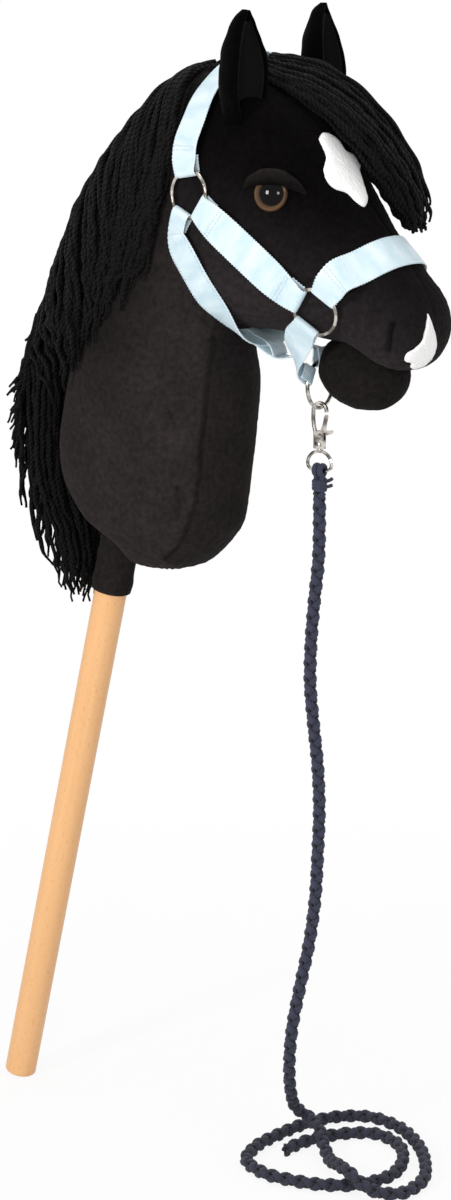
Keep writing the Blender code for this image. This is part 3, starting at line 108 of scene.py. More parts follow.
def seen_directly(tree):
    """1 for camera, glossy and transmission rays, else 0."""
    rays = add_node(tree, "LightPath").outputs
    mirrored = {0: rays["Is Camera Ray"], 1: rays["Is Glossy Ray"]}
    through = {0: add_node(tree, "Math", mirrored, operation="MAXIMUM"), 1: rays["Is Transmission Ray"]}
    return add_node(tree, "Math", through, operation="MAXIMUM")


SKY_LEVEL = 0.50
world = bpy.data.worlds.new("studio")
bpy.context.scene.world = world
world.use_nodes = True
sky = world.node_tree
sky.nodes.clear()
sky_level = add_node(sky, "Mix", {0: seen_directly(sky), 2: SKY_LEVEL, 3: 1.0}, data_type="FLOAT")
sky_shade = add_node(sky, "Background", {"Color": colour("#ffffff"), "Strength": sky_level})
add_node(sky, "OutputWorld", {"Surface": sky_shade})

STICK_RADIUS = 0.0125
STICK_LEAN = math.radians(13.4)
FLOOR_HEIGHT = -STICK_RADIUS * math.sin(STICK_LEAN)
FLOOR_REACH = 9.0
floor_mesh = bpy.data.meshes.new("floor")
floor_corners = [(x * FLOOR_REACH, y * FLOOR_REACH, FLOOR_HEIGHT)
                 for x, y in ((-1, -1), (1, -1), (1, 1), (-1, 1))]
floor_mesh.from_pydata(floor_corners, [], [(0, 1, 2, 3)])
floor = bpy.data.objects.new("floor", floor_mesh)
bpy.context.scene.collection.objects.link(floor)

# Matt white paper. A ray that sees it directly sees white light instead, but for a small share of the
# paper and its shadow near the stick, which fades out from 0.2 to 0.9 m.
floor_paper, tree = new_finish("white_paper_sweep")
paper = add_node(tree, "BsdfDiffuse", {"Color": colour("#f4f4f4")})
glow = add_node(tree, "Emission", {"Color": colour("#ffffff"), "Strength": 1.0})
where = add_node(tree, "TexCoord").outputs["Object"]
afar = add_node(tree, "VectorMath", {0: where, 1: (0.2, 0.0, 0.0)}, operation="DISTANCE")
whiter = add_node(tree, "MapRange", {0: afar, 1: 0.2, 2: 0.9, 3: 0.88, 4: 1.0})
share = add_node(tree, "Math", {0: seen_directly(tree), 1: whiter}, operation="MULTIPLY")
both = add_node(tree, "MixShader", {0: share, 1: paper, 2: glow})
add_node(tree, "OutputMaterial", {"Surface": both})
floor_mesh.materials.append(floor_paper)

LAMPS_AIM = Vector((0.2, 0.0, 0.60))
# Each box: name, place, width and height, power in watts.
SOFT_BOXES = (
    ("left_box", (-0.067, -1.987, 1.083), (0.28, 0.33), 17.0),
    ("camera_box", (1.364, -2.153, 1.147), (0.38, 0.32), 13.0),
    ("right_box", (1.75, -0.55, 1.35), (0.50, 0.50), 4.0),
    ("top_box", (0.10, 0.10, 2.30), (1.40, 1.40), 13.0),
)
for name, place, size, power in SOFT_BOXES:
    lamp = bpy.data.lights.new(name, "AREA")
    lamp.shape = "RECTANGLE"
    lamp.size, lamp.size_y = size
    lamp.energy = power
    made = bpy.data.objects.new(name, lamp)
    made.location = place
    made.rotation_euler = (LAMPS_AIM - Vector(place)).to_track_quat("-Z", "Y").to_euler()
    bpy.context.scene.collection.objects.link(made)

# Lead rope
# Navy polyester in a round plait of four braided strands, 10 mm wide. It hangs from the snap's swivel
# and lies on the floor in loose turns, where it ends cut and sealed.
ROPE_DIAMETER = 0.010
ROPE_LIE = FLOOR_HEIGHT + ROPE_DIAMETER / 2 + 0.0003
ROPE_ROUTE = (
    (0.2875, 0.0000, 0.5102), (0.2875, 0.0003, 0.4950), (0.2865, 0.0010, 0.4600), (0.2845, -0.0010, 0.4300),
    (0.2828, -0.0022, 0.4000), (0.2825, -0.0025, 0.3700), (0.2845, -0.0010, 0.3400), (0.2872, 0.0010, 0.3080),
    (0.2885, 0.0018, 0.2750), (0.2878, 0.0013, 0.2400), (0.2865, 0.0003, 0.2050), (0.2830, -0.0020, 0.1700),
    (0.2775, -0.0058, 0.1350), (0.2720, -0.0080, 0.1000), (0.2680, -0.0050, 0.0700), (0.2630, 0.0050, 0.0440),
    (0.2590, 0.0190, 0.0250), (0.2620, 0.0300, 0.0150), (0.2750, 0.0230, 0.0140), (0.2910, 0.0080, 0.0070),
    (0.3070, -0.0080, 0.0050), (0.3230, -0.0220, 0.0110), (0.3410, -0.0330, 0.0130),
    (0.3610, -0.0350, 0.0060), (0.3760, -0.0220, ROPE_LIE), (0.3790, 0.0050, ROPE_LIE),
    (0.3650, 0.0340, ROPE_LIE), (0.3410, 0.0610, ROPE_LIE), (0.3130, 0.0780, ROPE_LIE),
    (0.2870, 0.0800, ROPE_LIE), (0.2650, 0.0640, ROPE_LIE), (0.2530, 0.0400, ROPE_LIE),
    (0.2470, 0.0120, ROPE_LIE), (0.2450, -0.0160, ROPE_LIE), (0.2530, -0.0400, ROPE_LIE),
    (0.2750, -0.0500, ROPE_LIE), (0.3010, -0.0480, ROPE_LIE), (0.3250, -0.0400, ROPE_LIE),
    (0.3450, -0.0240, ROPE_LIE), (0.3550, 0.0020, ROPE_LIE), (0.3480, 0.0300, ROPE_LIE),
    (0.3300, 0.0510, ROPE_LIE), (0.3070, 0.0560, ROPE_LIE), (0.2890, 0.0440, ROPE_LIE),
    (0.2770, 0.0270, ROPE_LIE), (0.2690, 0.0080, ROPE_LIE), (0.2670, -0.0080, ROPE_LIE),
)


def bent(first, last, leaving, arriving, u):
    """Cubic curve from first to last at shares u of the way, with the slopes given at its two ends."""
    start_part = (2 * u**3 - 3 * u**2 + 1) * first + (u**3 - 2 * u**2 + u) * leaving
    end_part = (3 * u**2 - 2 * u**3) * last + (u**3 - u**2) * arriving
    return start_part + end_part


def smooth_table(knots, values, at):
    """Values on a smooth curve through the knots: cubic pieces with three-point slopes."""
    knots, values, at = (np.asarray(v, float) for v in (knots, values, at))
    slopes = np.gradient(values, knots, axis=0)
    i = np.clip(np.searchsorted(knots, at, side="right") - 1, 0, len(knots) - 2)
    step = (knots[i + 1] - knots[i])[:, None]
    u = (at - knots[i])[:, None] / step
    return bent(values[i], values[i + 1], step * slopes[i], step * slopes[i + 1], u)


def run_along(points):
    """Length of the path up to each of its points."""
    return np.concatenate([[0], np.cumsum(np.linalg.norm(np.diff(points, axis=0), axis=1))])


def smooth_path(points, count):
    """Evenly spaced points on a smooth curve through given points."""
    points = np.asarray(points, float)
    knots = run_along(points)
    fine = smooth_table(knots, points, np.linspace(0, knots[-1], 40 * len(points)))
    run = run_along(fine)
    even = np.linspace(0, run[-1], count)
    return np.stack([np.interp(even, run, fine[:, axis]) for axis in range(fine.shape[1])], axis=1)


def unit(vectors):
    """The same directions, one long."""
    return vectors / np.linalg.norm(vectors, axis=-1, keepdims=True)


def square_to(vectors, along):
    """Unit vectors at right angles to along, as near the given ones as can be."""
    return unit(vectors - along * np.sum(vectors * along, axis=-1, keepdims=True))


def carried_frames(path, start):
    """Two directions across a path that don't twist about it: each is the last one, turned with it."""
    along = unit(np.gradient(path, axis=0))
    across = [square_to(np.array(start), along[0])]
    for here in along[1:]:
        across.append(square_to(across[-1], here))
    across = np.array(across)
    return across, np.cross(along, across)


def piece(name, grid, finish, body="horse", stands_for=(), poles=None, uv=None):
    """One closed object over one or more grids of points, given as (grids, rows, columns, 3), whose last
    column joins the first. poles, (grids, 2, 3), close the first and last rows; without them, those two
    rows are joined. uv goes with the points, with one column more. Its volume says which way is out."""
    grid = np.asarray(grid, float)
    grid = grid[None] if grid.ndim == 3 else grid
    grids, rows, columns = grid.shape[:3]
    joined = rows if poles is None else rows - 1
    g, r, c = np.meshgrid(np.arange(grids), np.arange(joined), np.arange(columns), indexing="ij")
    steps = ((0, 0), (0, 1), (1, 1), (1, 0))
    quads = [(g * rows + (r + i) % rows) * columns + (c + j) % columns for i, j in steps]
    quads = np.stack(quads, -1).reshape(-1, 4)
    points = grid.reshape(-1, 3)
    triangles = np.zeros((0, 3), int)
    if poles is not None:
        g2, c2 = np.meshgrid(np.arange(grids), np.arange(columns), indexing="ij")
        first, last = g2 * rows * columns, (g2 * rows + rows - 1) * columns
        start = len(points) + 2 * g2
        near = np.stack([start, first + (c2 + 1) % columns, first + c2], -1).reshape(-1, 3)
        far = np.stack([start + 1, last + c2, last + (c2 + 1) % columns], -1).reshape(-1, 3)
        triangles = np.concatenate([near, far])
        points = np.concatenate([points, np.asarray(poles, float).reshape(-1, 3)])
    halves = np.concatenate([quads[:, :3], quads[:, [0, 2, 3]], triangles])
    first, second, third = points[halves.T]
    inside_out = np.sum(first * np.cross(second, third)) < 0
    turn = slice(None, None, -1) if inside_out else slice(None)
    quads, triangles = quads[:, turn], triangles[:, turn]
    corners = np.concatenate([quads.ravel(), triangles.ravel()])
    starts = np.concatenate([4 * np.arange(len(quads)), 4 * len(quads) + 3 * np.arange(len(triangles))])
    mesh = bpy.data.meshes.new(name)
    mesh.vertices.add(len(points))
    mesh.vertices.foreach_set("co", points.ravel())
    mesh.loops.add(len(corners))
    mesh.loops.foreach_set("vertex_index", corners)
    mesh.polygons.add(len(starts))
    mesh.polygons.foreach_set("loop_start", starts)
    if uv is not None:
        uv = np.broadcast_to(uv, (grids, *np.shape(uv)[-3:]))
        on_quads = np.stack([uv[g, r + i, c + j] for i, j in steps], -2).reshape(-1, 4, 2)[:, turn]
        found = on_quads.reshape(-1, 2)
        if poles is not None:
            near = np.stack([uv[g2, 0, c2], uv[g2, 0, c2 + 1], uv[g2, 0, c2]], -2).reshape(-1, 3, 2)
            far = np.stack([uv[g2, -1, c2], uv[g2, -1, c2], uv[g2, -1, c2 + 1]], -2).reshape(-1, 3, 2)
            found = np.concatenate([found, np.concatenate([near, far])[:, turn].reshape(-1, 2)])
        mesh.uv_layers.new(name="cloth").data.foreach_set("uv", found.ravel())
    mesh.update()
    mesh.validate()
    mesh.shade_smooth()
    mesh.materials.append(finish)
    made = bpy.data.objects.new(name, mesh)
    bpy.context.scene.collection.objects.link(made)
    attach(made, body)
    if stands_for:
        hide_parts(*stands_for)
    return made


def once_round(count):
    """Angles of that many even steps once round, from 0."""
    return np.linspace(0, 2 * np.pi, count, endpoint=False)


def tube(path, out, wide, thick, sides):
    """Points round a path, and their uv in metres: an oval of half widths wide and thick, its thick
    side along out."""
    along = unit(np.gradient(path, axis=-2))
    out = square_to(out, along)
    side = np.cross(along, out)
    turn = once_round(sides)[:, None]
    wide, thick = (np.broadcast_to(v, path.shape[:-1])[..., None, None] for v in (wide, thick))
    grid = path[..., None, :] + np.cos(turn) * thick * out[..., None, :]
    grid = grid + np.sin(turn) * wide * side[..., None, :]
    step = np.linalg.norm(np.diff(path, axis=-2, prepend=path[..., :1, :]), axis=-1)
    length = np.cumsum(step, axis=-1)[..., None]
    girth = np.linspace(0, 1, sides + 1) * 2 * np.pi * np.max(np.sqrt((wide**2 + thick**2) / 2))
    length, girth = np.broadcast_arrays(length, girth)
    return grid, np.stack([length, girth], -1)


def toned(made, tone):
    """Give a piece its tone, which its colour is multiplied by: low where little light falls."""
    values = np.resize(tone, len(made.data.vertices)).astype(float)
    made.data.attributes.new("tone", "FLOAT", "POINT").data.foreach_set("value", values)


def by_tone(tree, dye):
    """A colour multiplied by the piece's tone."""
    tone = add_node(tree, "Attribute", attribute_name="tone").outputs["Fac"]
    return add_node(tree, "Mix", {0: 1.0, 6: dye, 7: tone}, data_type="RGBA", blend_type="MULTIPLY")


# Solution-dyed polyester, braided fine: matt, with a soft bloom at the edges. The braid's real 0.6 mm
# crossings are drawn at 1.4 mm, so that they show. A wave texture of scale 1 repeats every 0.314 m.
WAVE_LENGTH = 0.314
braid_finish, tree = new_finish("navy_polyester_braid")
where = add_node(tree, "TexCoord").outputs["Object"]
cloth = add_node(tree, "UVMap", uv_map="cloth")
waves = []
for lean in (50, -50):
    leaning = add_node(tree, "Mapping", {"Vector": cloth, "Rotation": (0, 0, math.radians(lean))})
    wave = add_node(tree, "TexWave", {"Vector": leaning, "Scale": WAVE_LENGTH / 0.0014, "Distortion": 0.6})
    waves.append(wave.outputs["Fac"])
braid = add_node(tree, "Math", {0: waves[0], 1: waves[1]}, operation="MAXIMUM")
patchy = add_node(tree, "TexNoise", {"Vector": where, "Scale": 90.0, "Detail": 3.0})
# Painted light and shade: the braid's colour is darker in the hollows between crossings and lighter on them.
thread = add_node(tree, "Mix", {0: braid, 6: colour("#171a2c"), 7: colour("#3a3d55")}, data_type="RGBA")
worn = add_node(tree, "Mix", {0: patchy, 6: thread, 7: colour("#2f3247")}, data_type="RGBA")
lift = add_node(tree, "Bump", {"Height": braid, "Strength": 0.7, "Distance": 0.0005})
shader = add_node(tree, "BsdfPrincipled", {
    "Base Color": by_tone(tree, worn), "Roughness": 0.78, "Normal": lift, "Sheen Weight": 0.10,
    "Sheen Roughness": 0.4})
add_node(tree, "OutputMaterial", {"Surface": shader})

PLAIT_PITCH = 0.023
STRAND_CENTRE = 0.0027
STRAND_SWING = 0.0012
STRAND_SIDES = 10
rope_path = smooth_path(ROPE_ROUTE, 900)
rope_path[:, 2] = np.maximum(rope_path[:, 2], ROPE_LIE)
rope_run = run_along(rope_path)
across, beside = carried_frames(rope_path, (1.0, 0.0, 0.0))
# Two strands wind each way, half a turn apart; where two cross, one rides out over the other.
hand = np.array([1, 1, -1, -1])[:, None]
wound = hand * 2 * np.pi * rope_run / PLAIT_PITCH + np.array([0, np.pi, 0, np.pi])[:, None]
riding_out = hand * np.cos(4 * np.pi * rope_run / PLAIT_PITCH)
radius = STRAND_CENTRE + STRAND_SWING * riding_out
outwards = np.cos(wound)[..., None] * across + np.sin(wound)[..., None] * beside
strands = rope_path + radius[..., None] * outwards
grid, uv = tube(strands, outwards, 0.0026, 0.0015, STRAND_SIDES)
lead_rope = piece("lead_rope_plait", grid, braid_finish, "lead_rope", ("lead_rope",),
                  poles=strands[:, [0, -1]], uv=uv)
# Painted shade: darker where a strand dives under another, on each strand's inner side, and low down by the
# floor.
on_top = 0.5 + 0.5 * riding_out
outer_face = 0.5 + 0.5 * np.cos(once_round(STRAND_SIDES))
in_shade = np.interp(rope_path[:, 2], [0.02, 0.12], [0.60, 1.0])
toned(lead_rope, (in_shade * (0.45 + 0.55 * on_top))[..., None] * (0.45 + 0.55 * outer_face))

# Rope's bound end
# Two of the rope's strands go round the swivel loop's bar and back, and are bound down with more of the
# same braid; two cut ends stand out of the binding.
BAR_PLACE = np.array((0.2875, 0.0, 0.5263))
EYE_STEPS, BINDING_STEPS = 30, 150
eye_turn = np.radians(np.linspace(-62, 242, EYE_STEPS))
eye_path = np.stack([np.zeros(EYE_STEPS), 0.0034 * np.cos(eye_turn), 0.0036 * np.sin(eye_turn)], -1)
eye_path = np.concatenate([[(0, 0.0012, -0.0125)], eye_path, [(0, -0.0012, -0.0125)]])
eye_path = smooth_path(eye_path, 48) + BAR_PLACE
over_bar = np.array([eye_path + (x, 0.0, 0.0) for x in (-0.0023, 0.0023)])
turns = np.linspace(0, 3.4 * 2 * np.pi, BINDING_STEPS)
binding_out = np.stack([np.cos(turns), np.sin(turns), np.zeros(BINDING_STEPS)], -1)
binding = 0.0042 * binding_out + BAR_PLACE
binding[:, 2] += np.linspace(-0.0070, -0.0148, BINDING_STEPS)
cut_ends = np.array([
    smooth_path([(0.0022, 0.0030, -0.0085), (0.0052, 0.0042, -0.0078), (0.0078, 0.0046, -0.0062)], 12),
    smooth_path([(0.0026, 0.0026, -0.0125), (0.0056, 0.0036, -0.0118), (0.0080, 0.0042, -0.0108)], 12),
]) + BAR_PLACE
for name, paths, out, wide, thick, sides, stands_for in (
    ("rope_eye", over_bar, (1.0, 0.0, 0.0), 0.0016, 0.0022, 10, ("rope_hitch",)),
    ("rope_binding", binding, binding_out, 0.0017, 0.0014, 10, ()),
    ("rope_cut_ends", cut_ends, (0.0, 0.0, 1.0), 0.0016, 0.0013, 8, ()),
):
    grid, uv = tube(paths, np.broadcast_to(out, paths.shape), wide, thick, sides)
    made = piece(name, grid, braid_finish, "swivel", stands_for,
                 poles=paths[..., [0, -1], :], uv=uv)
    # Painted shade: the bound end's braid is darkened a little.
    toned(made, 0.85)

# Stuffed head
# Black short-pile plush sewn over polyester filling. Two side panels meet in a seam down the middle of
# the face, and small darts shape the nostrils; the pile hides most of the stitching.
HEAD_CENTRE = np.array((0.228, 0.0, 0.725))
HEAD_PITCH = math.radians(36.87)
HEAD_ALONG = np.array((math.cos(HEAD_PITCH), 0.0, -math.sin(HEAD_PITCH)))
HEAD_ACROSS = np.array((math.sin(HEAD_PITCH), 0.0, math.cos(HEAD_PITCH)))
SIDEWAYS = np.array((0.0, 1.0, 0.0))
# Each section: place along the head, top, bottom, half width, squareness, narrowing towards the top.
HEAD_SECTIONS = (
    (-0.0625, 0.0190, 0.0170, 0.0010, 2.0, 0.00),
    (-0.0610, 0.034, 0.004, 0.013, 2.0, 0.00),
    (-0.0560, 0.053, -0.016, 0.030, 2.1, 0.00),
    (-0.0450, 0.067, -0.038, 0.043, 2.2, 0.00),
    (-0.0250, 0.0735, -0.058, 0.0520, 2.35, 0.01),
    (0.0000, 0.0745, -0.072, 0.0550, 2.5, 0.02),
    (0.0250, 0.0725, -0.081, 0.0560, 2.6, 0.04),
    (0.0450, 0.0665, -0.082, 0.0550, 2.55, 0.06),
    (0.0650, 0.0590, -0.0745, 0.0520, 2.4, 0.08),
    (0.0900, 0.0510, -0.058, 0.0465, 2.35, 0.09),
    (0.1150, 0.0440, -0.043, 0.0420, 2.35, 0.08),
    (0.1350, 0.0400, -0.031, 0.0410, 2.4, 0.06),
    (0.1530, 0.0345, -0.0245, 0.0415, 2.5, 0.04),
    (0.1680, 0.0265, -0.0220, 0.0395, 2.5, 0.02),
    (0.1780, 0.0155, -0.0195, 0.0330, 2.3, 0.00),
    (0.1840, 0.0060, -0.0120, 0.0200, 2.0, 0.00),
    (0.1862, -0.0025, -0.0045, 0.0010, 2.0, 0.00),
)


def on_head(along, across, y=0.0):
    """Points given along and across the head from its middle, and sideways from the middle plane."""
    along, across, y = (np.asarray(v, float)[..., None] for v in (along, across, y))
    return HEAD_CENTRE + along * HEAD_ALONG + across * HEAD_ACROSS + y * SIDEWAYS


def superellipse(turn, power):
    """Unit outline of a rounded box: cosine and sine terms raised to 2 / power, top point first."""
    c, s = np.cos(turn), np.sin(turn)
    return np.sign(c) * np.abs(c) ** (2 / power), np.sign(s) * np.abs(s) ** (2 / power)


def ripple(points, length, seed):
    """Smooth even unevenness between about -1 and 1: a sum of sine waves of near one wave length that
    run in random directions."""
    waves = np.random.default_rng(seed)
    run = unit(waves.normal(size=(14, 3))) * 2 * np.pi / (length * waves.uniform(0.7, 1.4, (14, 1)))
    return np.sin(points @ run.T + waves.uniform(0, 2 * np.pi, 14)).sum(-1) / math.sqrt(14)


def normals_of(grid):
    """Outward unit normals of a closed grid whose rows run round it: cross products of its two steps."""
    round_way = np.roll(grid, -1, 1) - np.roll(grid, 1, 1)
    long_way = np.gradient(grid, axis=0)
    found = np.cross(round_way, long_way)
    size = np.linalg.norm(found, axis=-1, keepdims=True)
    found = found / np.maximum(size, 1e-12)
    middle = grid.mean((0, 1))
    return found * np.sign(np.sum((grid - middle) * found))


def end_middles(grid):
    """The middles of a grid's first and last rows, where its ends are closed."""
    return grid[0].mean(0), grid[-1].mean(0)


def groove(grid, line, width, depth):
    """Depth of a sewn groove on both sides of a piece, along a line given in side view as x and z:
    deepest on the line, easing out over its width as a bell curve, and none near the middle plane."""
    line = np.asarray(line, float)
    flat = grid[..., None, [0, 2]]
    start, run = line[:-1], np.diff(line, axis=0)
    share = np.clip(np.sum((flat - start) * run, -1) / np.sum(run * run, -1), 0, 1)
    off = np.linalg.norm(flat - start - share[..., None] * run, axis=-1).min(-1)
    return depth * np.exp(-((off / width) ** 2)) * (np.abs(grid[..., 1]) > 0.008)


# Acrylic velboa plush: near black and dull, with short pile that lies in clumps of 2 to 4 mm. Light is
# painted into its colour: near black on the forehead, turning to a painted lighter dark grey down and
# forward on the jowls and the muzzle, and a copy painted lighter all over for the neck.
def plush_finish(name, deep, lit, lighter_from=0.0, lighter_to=0.0):
    """Plush between two tones; down the head, between two places from its middle, it turns to the lighter
    one, which is painted light.
    """
    made, tree = new_finish(name)
    where = add_node(tree, "TexCoord").outputs["Object"]
    pile = add_node(tree, "TexNoise", {"Vector": where, "Scale": 700.0, "Detail": 2.0})
    clumps = add_node(tree, "TexNoise", {"Vector": where, "Scale": 260.0, "Detail": 3.0})
    brushed = add_node(tree, "TexNoise", {"Vector": where, "Scale": 26.0, "Detail": 3.0})
    patches = add_node(tree, "MapRange", {0: brushed, 1: 0.38, 2: 0.66})
    if lighter_to:
        # Painted light: from the eye down and forward the colour turns towards the lighter tone.
        down_and_forward = 0.22 * HEAD_ALONG - HEAD_ACROSS
        start = float((HEAD_CENTRE + 0.05 * HEAD_ALONG) @ down_and_forward)
        place = add_node(tree, "VectorMath", {0: where, 1: tuple(down_and_forward)}, operation="DOT_PRODUCT")
        turning = {0: place, 1: start + lighter_from, 2: start + lighter_to}
        leaning = add_node(tree, "MapRange", turning, interpolation_type="SMOOTHSTEP")
        patches = add_node(tree, "Math", {0: patches, 1: 0.06, 2: leaning}, operation="MULTIPLY_ADD",
                           use_clamp=True)
    pile_and_painted_light = add_node(tree, "Mix", {0: patches, 6: colour(deep), 7: colour(lit)}, data_type="RGBA")
    fleck = add_node(tree, "MapRange", {0: clumps, 1: 0.3, 2: 0.7, 3: 0.72, 4: 1.25})
    pile_and_painted_light = add_node(tree, "Mix", {0: 1.0, 6: pile_and_painted_light, 7: fleck}, data_type="RGBA", blend_type="MULTIPLY")
    height = add_node(tree, "Math", {0: pile, 1: clumps}, operation="ADD")
    lift = add_node(tree, "Bump", {"Height": height, "Strength": 0.5, "Distance": 0.0008})
    shader = add_node(tree, "BsdfPrincipled", {
        "Base Color": by_tone(tree, pile_and_painted_light), "Roughness": 0.95, "Normal": lift, "Specular IOR Level": 0.03,
        "Sheen Weight": 0.035, "Sheen Roughness": 0.35, "Sheen Tint": colour("#d8cfcd")})
    add_node(tree, "OutputMaterial", {"Surface": shader})
    return made


# Painted light: the head's plush is lighter down and forward; the neck's copy, also used for the jaw, the
# lids and the sleeve, is painted lighter all over.
plush = plush_finish("black_velboa_plush", "#050404", "#292526", -0.046, 0.056)
neck_plush = plush_finish("black_velboa_plush_painted_lighter", "#262222", "#2c2727")

SKIN_COLUMNS = 220
table = np.array(HEAD_SECTIONS)
rows = smooth_table(np.arange(len(table)), table, np.linspace(0, len(table) - 1, 210))
along, top, bottom, half_width, power, narrowing = rows.T[..., None]
up, side = superellipse(once_round(SKIN_COLUMNS), power)
across = (top + bottom) / 2 + (top - bottom) / 2 * up
smooth_head = on_head(along, across, half_width * side * (1 - narrowing * up))
# In side view: the dart over each nostril, and the creases from the corners of the eyes.
NOSTRIL_DART = ((0.3690, 0.6390), (0.3660, 0.6210))
EYE_CREASES = (
    ((0.2600, 0.7280), (0.2640, 0.7232), (0.2680, 0.7180)),
    ((0.2900, 0.7136), (0.2990, 0.7128), (0.3075, 0.7144)),
)
move = 0.0005 * ripple(smooth_head, 0.034, 3) + 0.00018 * ripple(smooth_head, 0.005, 4)
face_seam = 0.0010 * np.exp(-((smooth_head[..., 1] / 0.0012) ** 2))
move -= face_seam * (up > 0)
move -= groove(smooth_head, NOSTRIL_DART, 0.0018, 0.0022)
for crease in EYE_CREASES:
    move -= groove(smooth_head, crease, 0.0011, 0.0010)
head_grid = smooth_head + normals_of(smooth_head) * move[..., None]
head = piece("plush_head", head_grid, plush, stands_for=("head",),
             poles=end_middles(head_grid))
# Painted shade: the nostril darts are darkened in their hollows.
toned(head, 1 - 0.75 * np.clip(groove(head_grid, NOSTRIL_DART, 0.0016, 1.0), 0, 1))

# Stuffed neck
# The same plush and filling. A seam runs down each side between the side panel and the throat's gusset,
# and small darts shape the base where the fabric is drawn in round the stick.
NECK_SQUARENESS = 2.35
# Each section: crest x and z, throat x and z, half width.
NECK_SECTIONS = (
    (0.1370, 0.4405, 0.1680, 0.4405, 0.012),
    (0.1250, 0.4440, 0.1780, 0.4440, 0.022),
    (0.1190, 0.4500, 0.1885, 0.4500, 0.030),
    (0.1120, 0.4580, 0.1985, 0.4580, 0.037),
    (0.1005, 0.4670, 0.2055, 0.4670, 0.043),
    (0.0865, 0.4790, 0.2115, 0.4790, 0.048),
    (0.0710, 0.5000, 0.2160, 0.5000, 0.052),
    (0.0675, 0.5270, 0.2195, 0.5270, 0.054),
    (0.0700, 0.5580, 0.2225, 0.5540, 0.054),
    (0.0780, 0.5930, 0.2245, 0.5860, 0.053),
    (0.0880, 0.6270, 0.2175, 0.6170, 0.0515),
    (0.0980, 0.6600, 0.2230, 0.6420, 0.0500),
    (0.1100, 0.6920, 0.2370, 0.6600, 0.0485),
    (0.1260, 0.7220, 0.2430, 0.6800, 0.0470),
    (0.1460, 0.7500, 0.2490, 0.7020, 0.0440),
    (0.1690, 0.7770, 0.2530, 0.7280, 0.0390),
    (0.1920, 0.7965, 0.2510, 0.7560, 0.0310),
    (0.2110, 0.8050, 0.2450, 0.7780, 0.0190),
)


def on_neck(index, turn, extra=0.0):
    """Points on the neck's skin or extra outside it: index counts its sections from the foot, and turn
    goes round from the crest at 0 to the throat at half a turn, towards the left side."""
    index, turn, extra = np.broadcast_arrays(np.asarray(index, float), turn, extra)
    table = np.array(NECK_SECTIONS)
    row = smooth_table(np.arange(len(table)), table, index.ravel()).reshape(*index.shape, 5)
    crest = np.stack([row[..., 0], np.zeros(index.shape), row[..., 1]], -1)
    throat = np.stack([row[..., 2], np.zeros(index.shape), row[..., 3]], -1)
    half = np.linalg.norm(throat - crest, axis=-1, keepdims=True) / 2
    c, s = superellipse(turn, NECK_SQUARENESS)
    depth = (half + extra[..., None]) * c[..., None] * (crest - throat) / (2 * half)
    return (crest + throat) / 2 + depth + (row[..., 4:] + extra[..., None]) * s[..., None] * SIDEWAYS


index = np.linspace(0, len(NECK_SECTIONS) - 1, 240)[:, None]
round_neck = once_round(SKIN_COLUMNS)[None]
smooth_neck = on_neck(index, round_neck)
# In side view: the gusset's seam from the jowl down, and two darts in front of it.
GUSSET_SEAM = ((0.2126, 0.6186), (0.2136, 0.5927), (0.2119, 0.5642), (0.2089, 0.5381), (0.2068, 0.5197),
               (0.2029, 0.4979), (0.1970, 0.4796), (0.1874, 0.4645), (0.1733, 0.4533))
NECK_DARTS = (
    ((0.1889, 0.5650), (0.1935, 0.5533)),
    ((0.1928, 0.5102), (0.1932, 0.4979), (0.1906, 0.4859)),
)
move = 0.0008 * ripple(smooth_neck, 0.045, 5) + 0.00015 * ripple(smooth_neck, 0.006, 6)
move -= groove(smooth_neck, GUSSET_SEAM, 0.0011, 0.0013)
move += groove(smooth_neck, GUSSET_SEAM, 0.0060, 0.0006)
for dart in NECK_DARTS:
    move -= groove(smooth_neck, dart, 0.0014, 0.0017)
gathers = 0.5 + 0.5 * np.cos(17 * round_neck + 1.5 * np.sin(3 * round_neck))
move -= 0.0013 * gathers * np.clip(1 - index / 2.6, 0, 1)
neck_grid = smooth_neck + normals_of(smooth_neck) * move[..., None]
neck = piece("plush_neck", neck_grid, neck_plush, stands_for=("neck",),
             poles=((0.1525, 0.0, 0.4390), (0.2320, 0.0, 0.7980)))
# Painted shade: darker in its seams and darts, on the gusset, which faces down, and high up under the mane.
in_seam = groove(neck_grid, GUSSET_SEAM, 0.0012, 0.75)
for dart in NECK_DARTS:
    in_seam += 0.6 * groove(neck_grid, dart, 0.0014, 1.0)
seam_x, seam_z = np.array(GUSSET_SEAM[::-1]).T
on_gusset = np.clip((neck_grid[..., 0] - np.interp(neck_grid[..., 2], seam_z, seam_x)) / 0.0015, 0, 1)
from_crest = np.degrees(np.minimum(round_neck, 2 * np.pi - round_neck))
under_mane = np.clip((112 - from_crest) / 30, 0, 1) * np.clip((index - 8) / 2, 0, 1)
toned(neck, np.clip(1 - 0.24 * on_gusset - 0.7 * in_seam - 0.42 * under_mane, 0.2, 1))

# Lower jaw
# A small stuffed bag of the same plush, closed round its filling and sewn on under the muzzle. Its join
# with the head reads as the mouth.
JAW_CENTRE = np.array((0.3240, 0.0, 0.5995))
JAW_HALF_LENGTH, JAW_HALF_WIDTH, JAW_HALF_DEPTH = 0.0325, 0.0285, 0.0260
JAW_PITCH = math.radians(14)
jaw_along = np.array((math.cos(JAW_PITCH), 0.0, -math.sin(JAW_PITCH)))
jaw_across = np.array((math.sin(JAW_PITCH), 0.0, math.cos(JAW_PITCH)))
angle = np.linspace(0.02, np.pi - 0.02, 90)[:, None]
up, side = superellipse(once_round(110), 2.2)
swell = np.sin(angle) ** 0.85
jaw_grid = JAW_CENTRE - (JAW_HALF_LENGTH * np.cos(angle) + 0 * up)[..., None] * jaw_along
jaw_grid = jaw_grid + (JAW_HALF_DEPTH * swell * up)[..., None] * jaw_across
jaw_grid = jaw_grid + (JAW_HALF_WIDTH * swell * side)[..., None] * SIDEWAYS
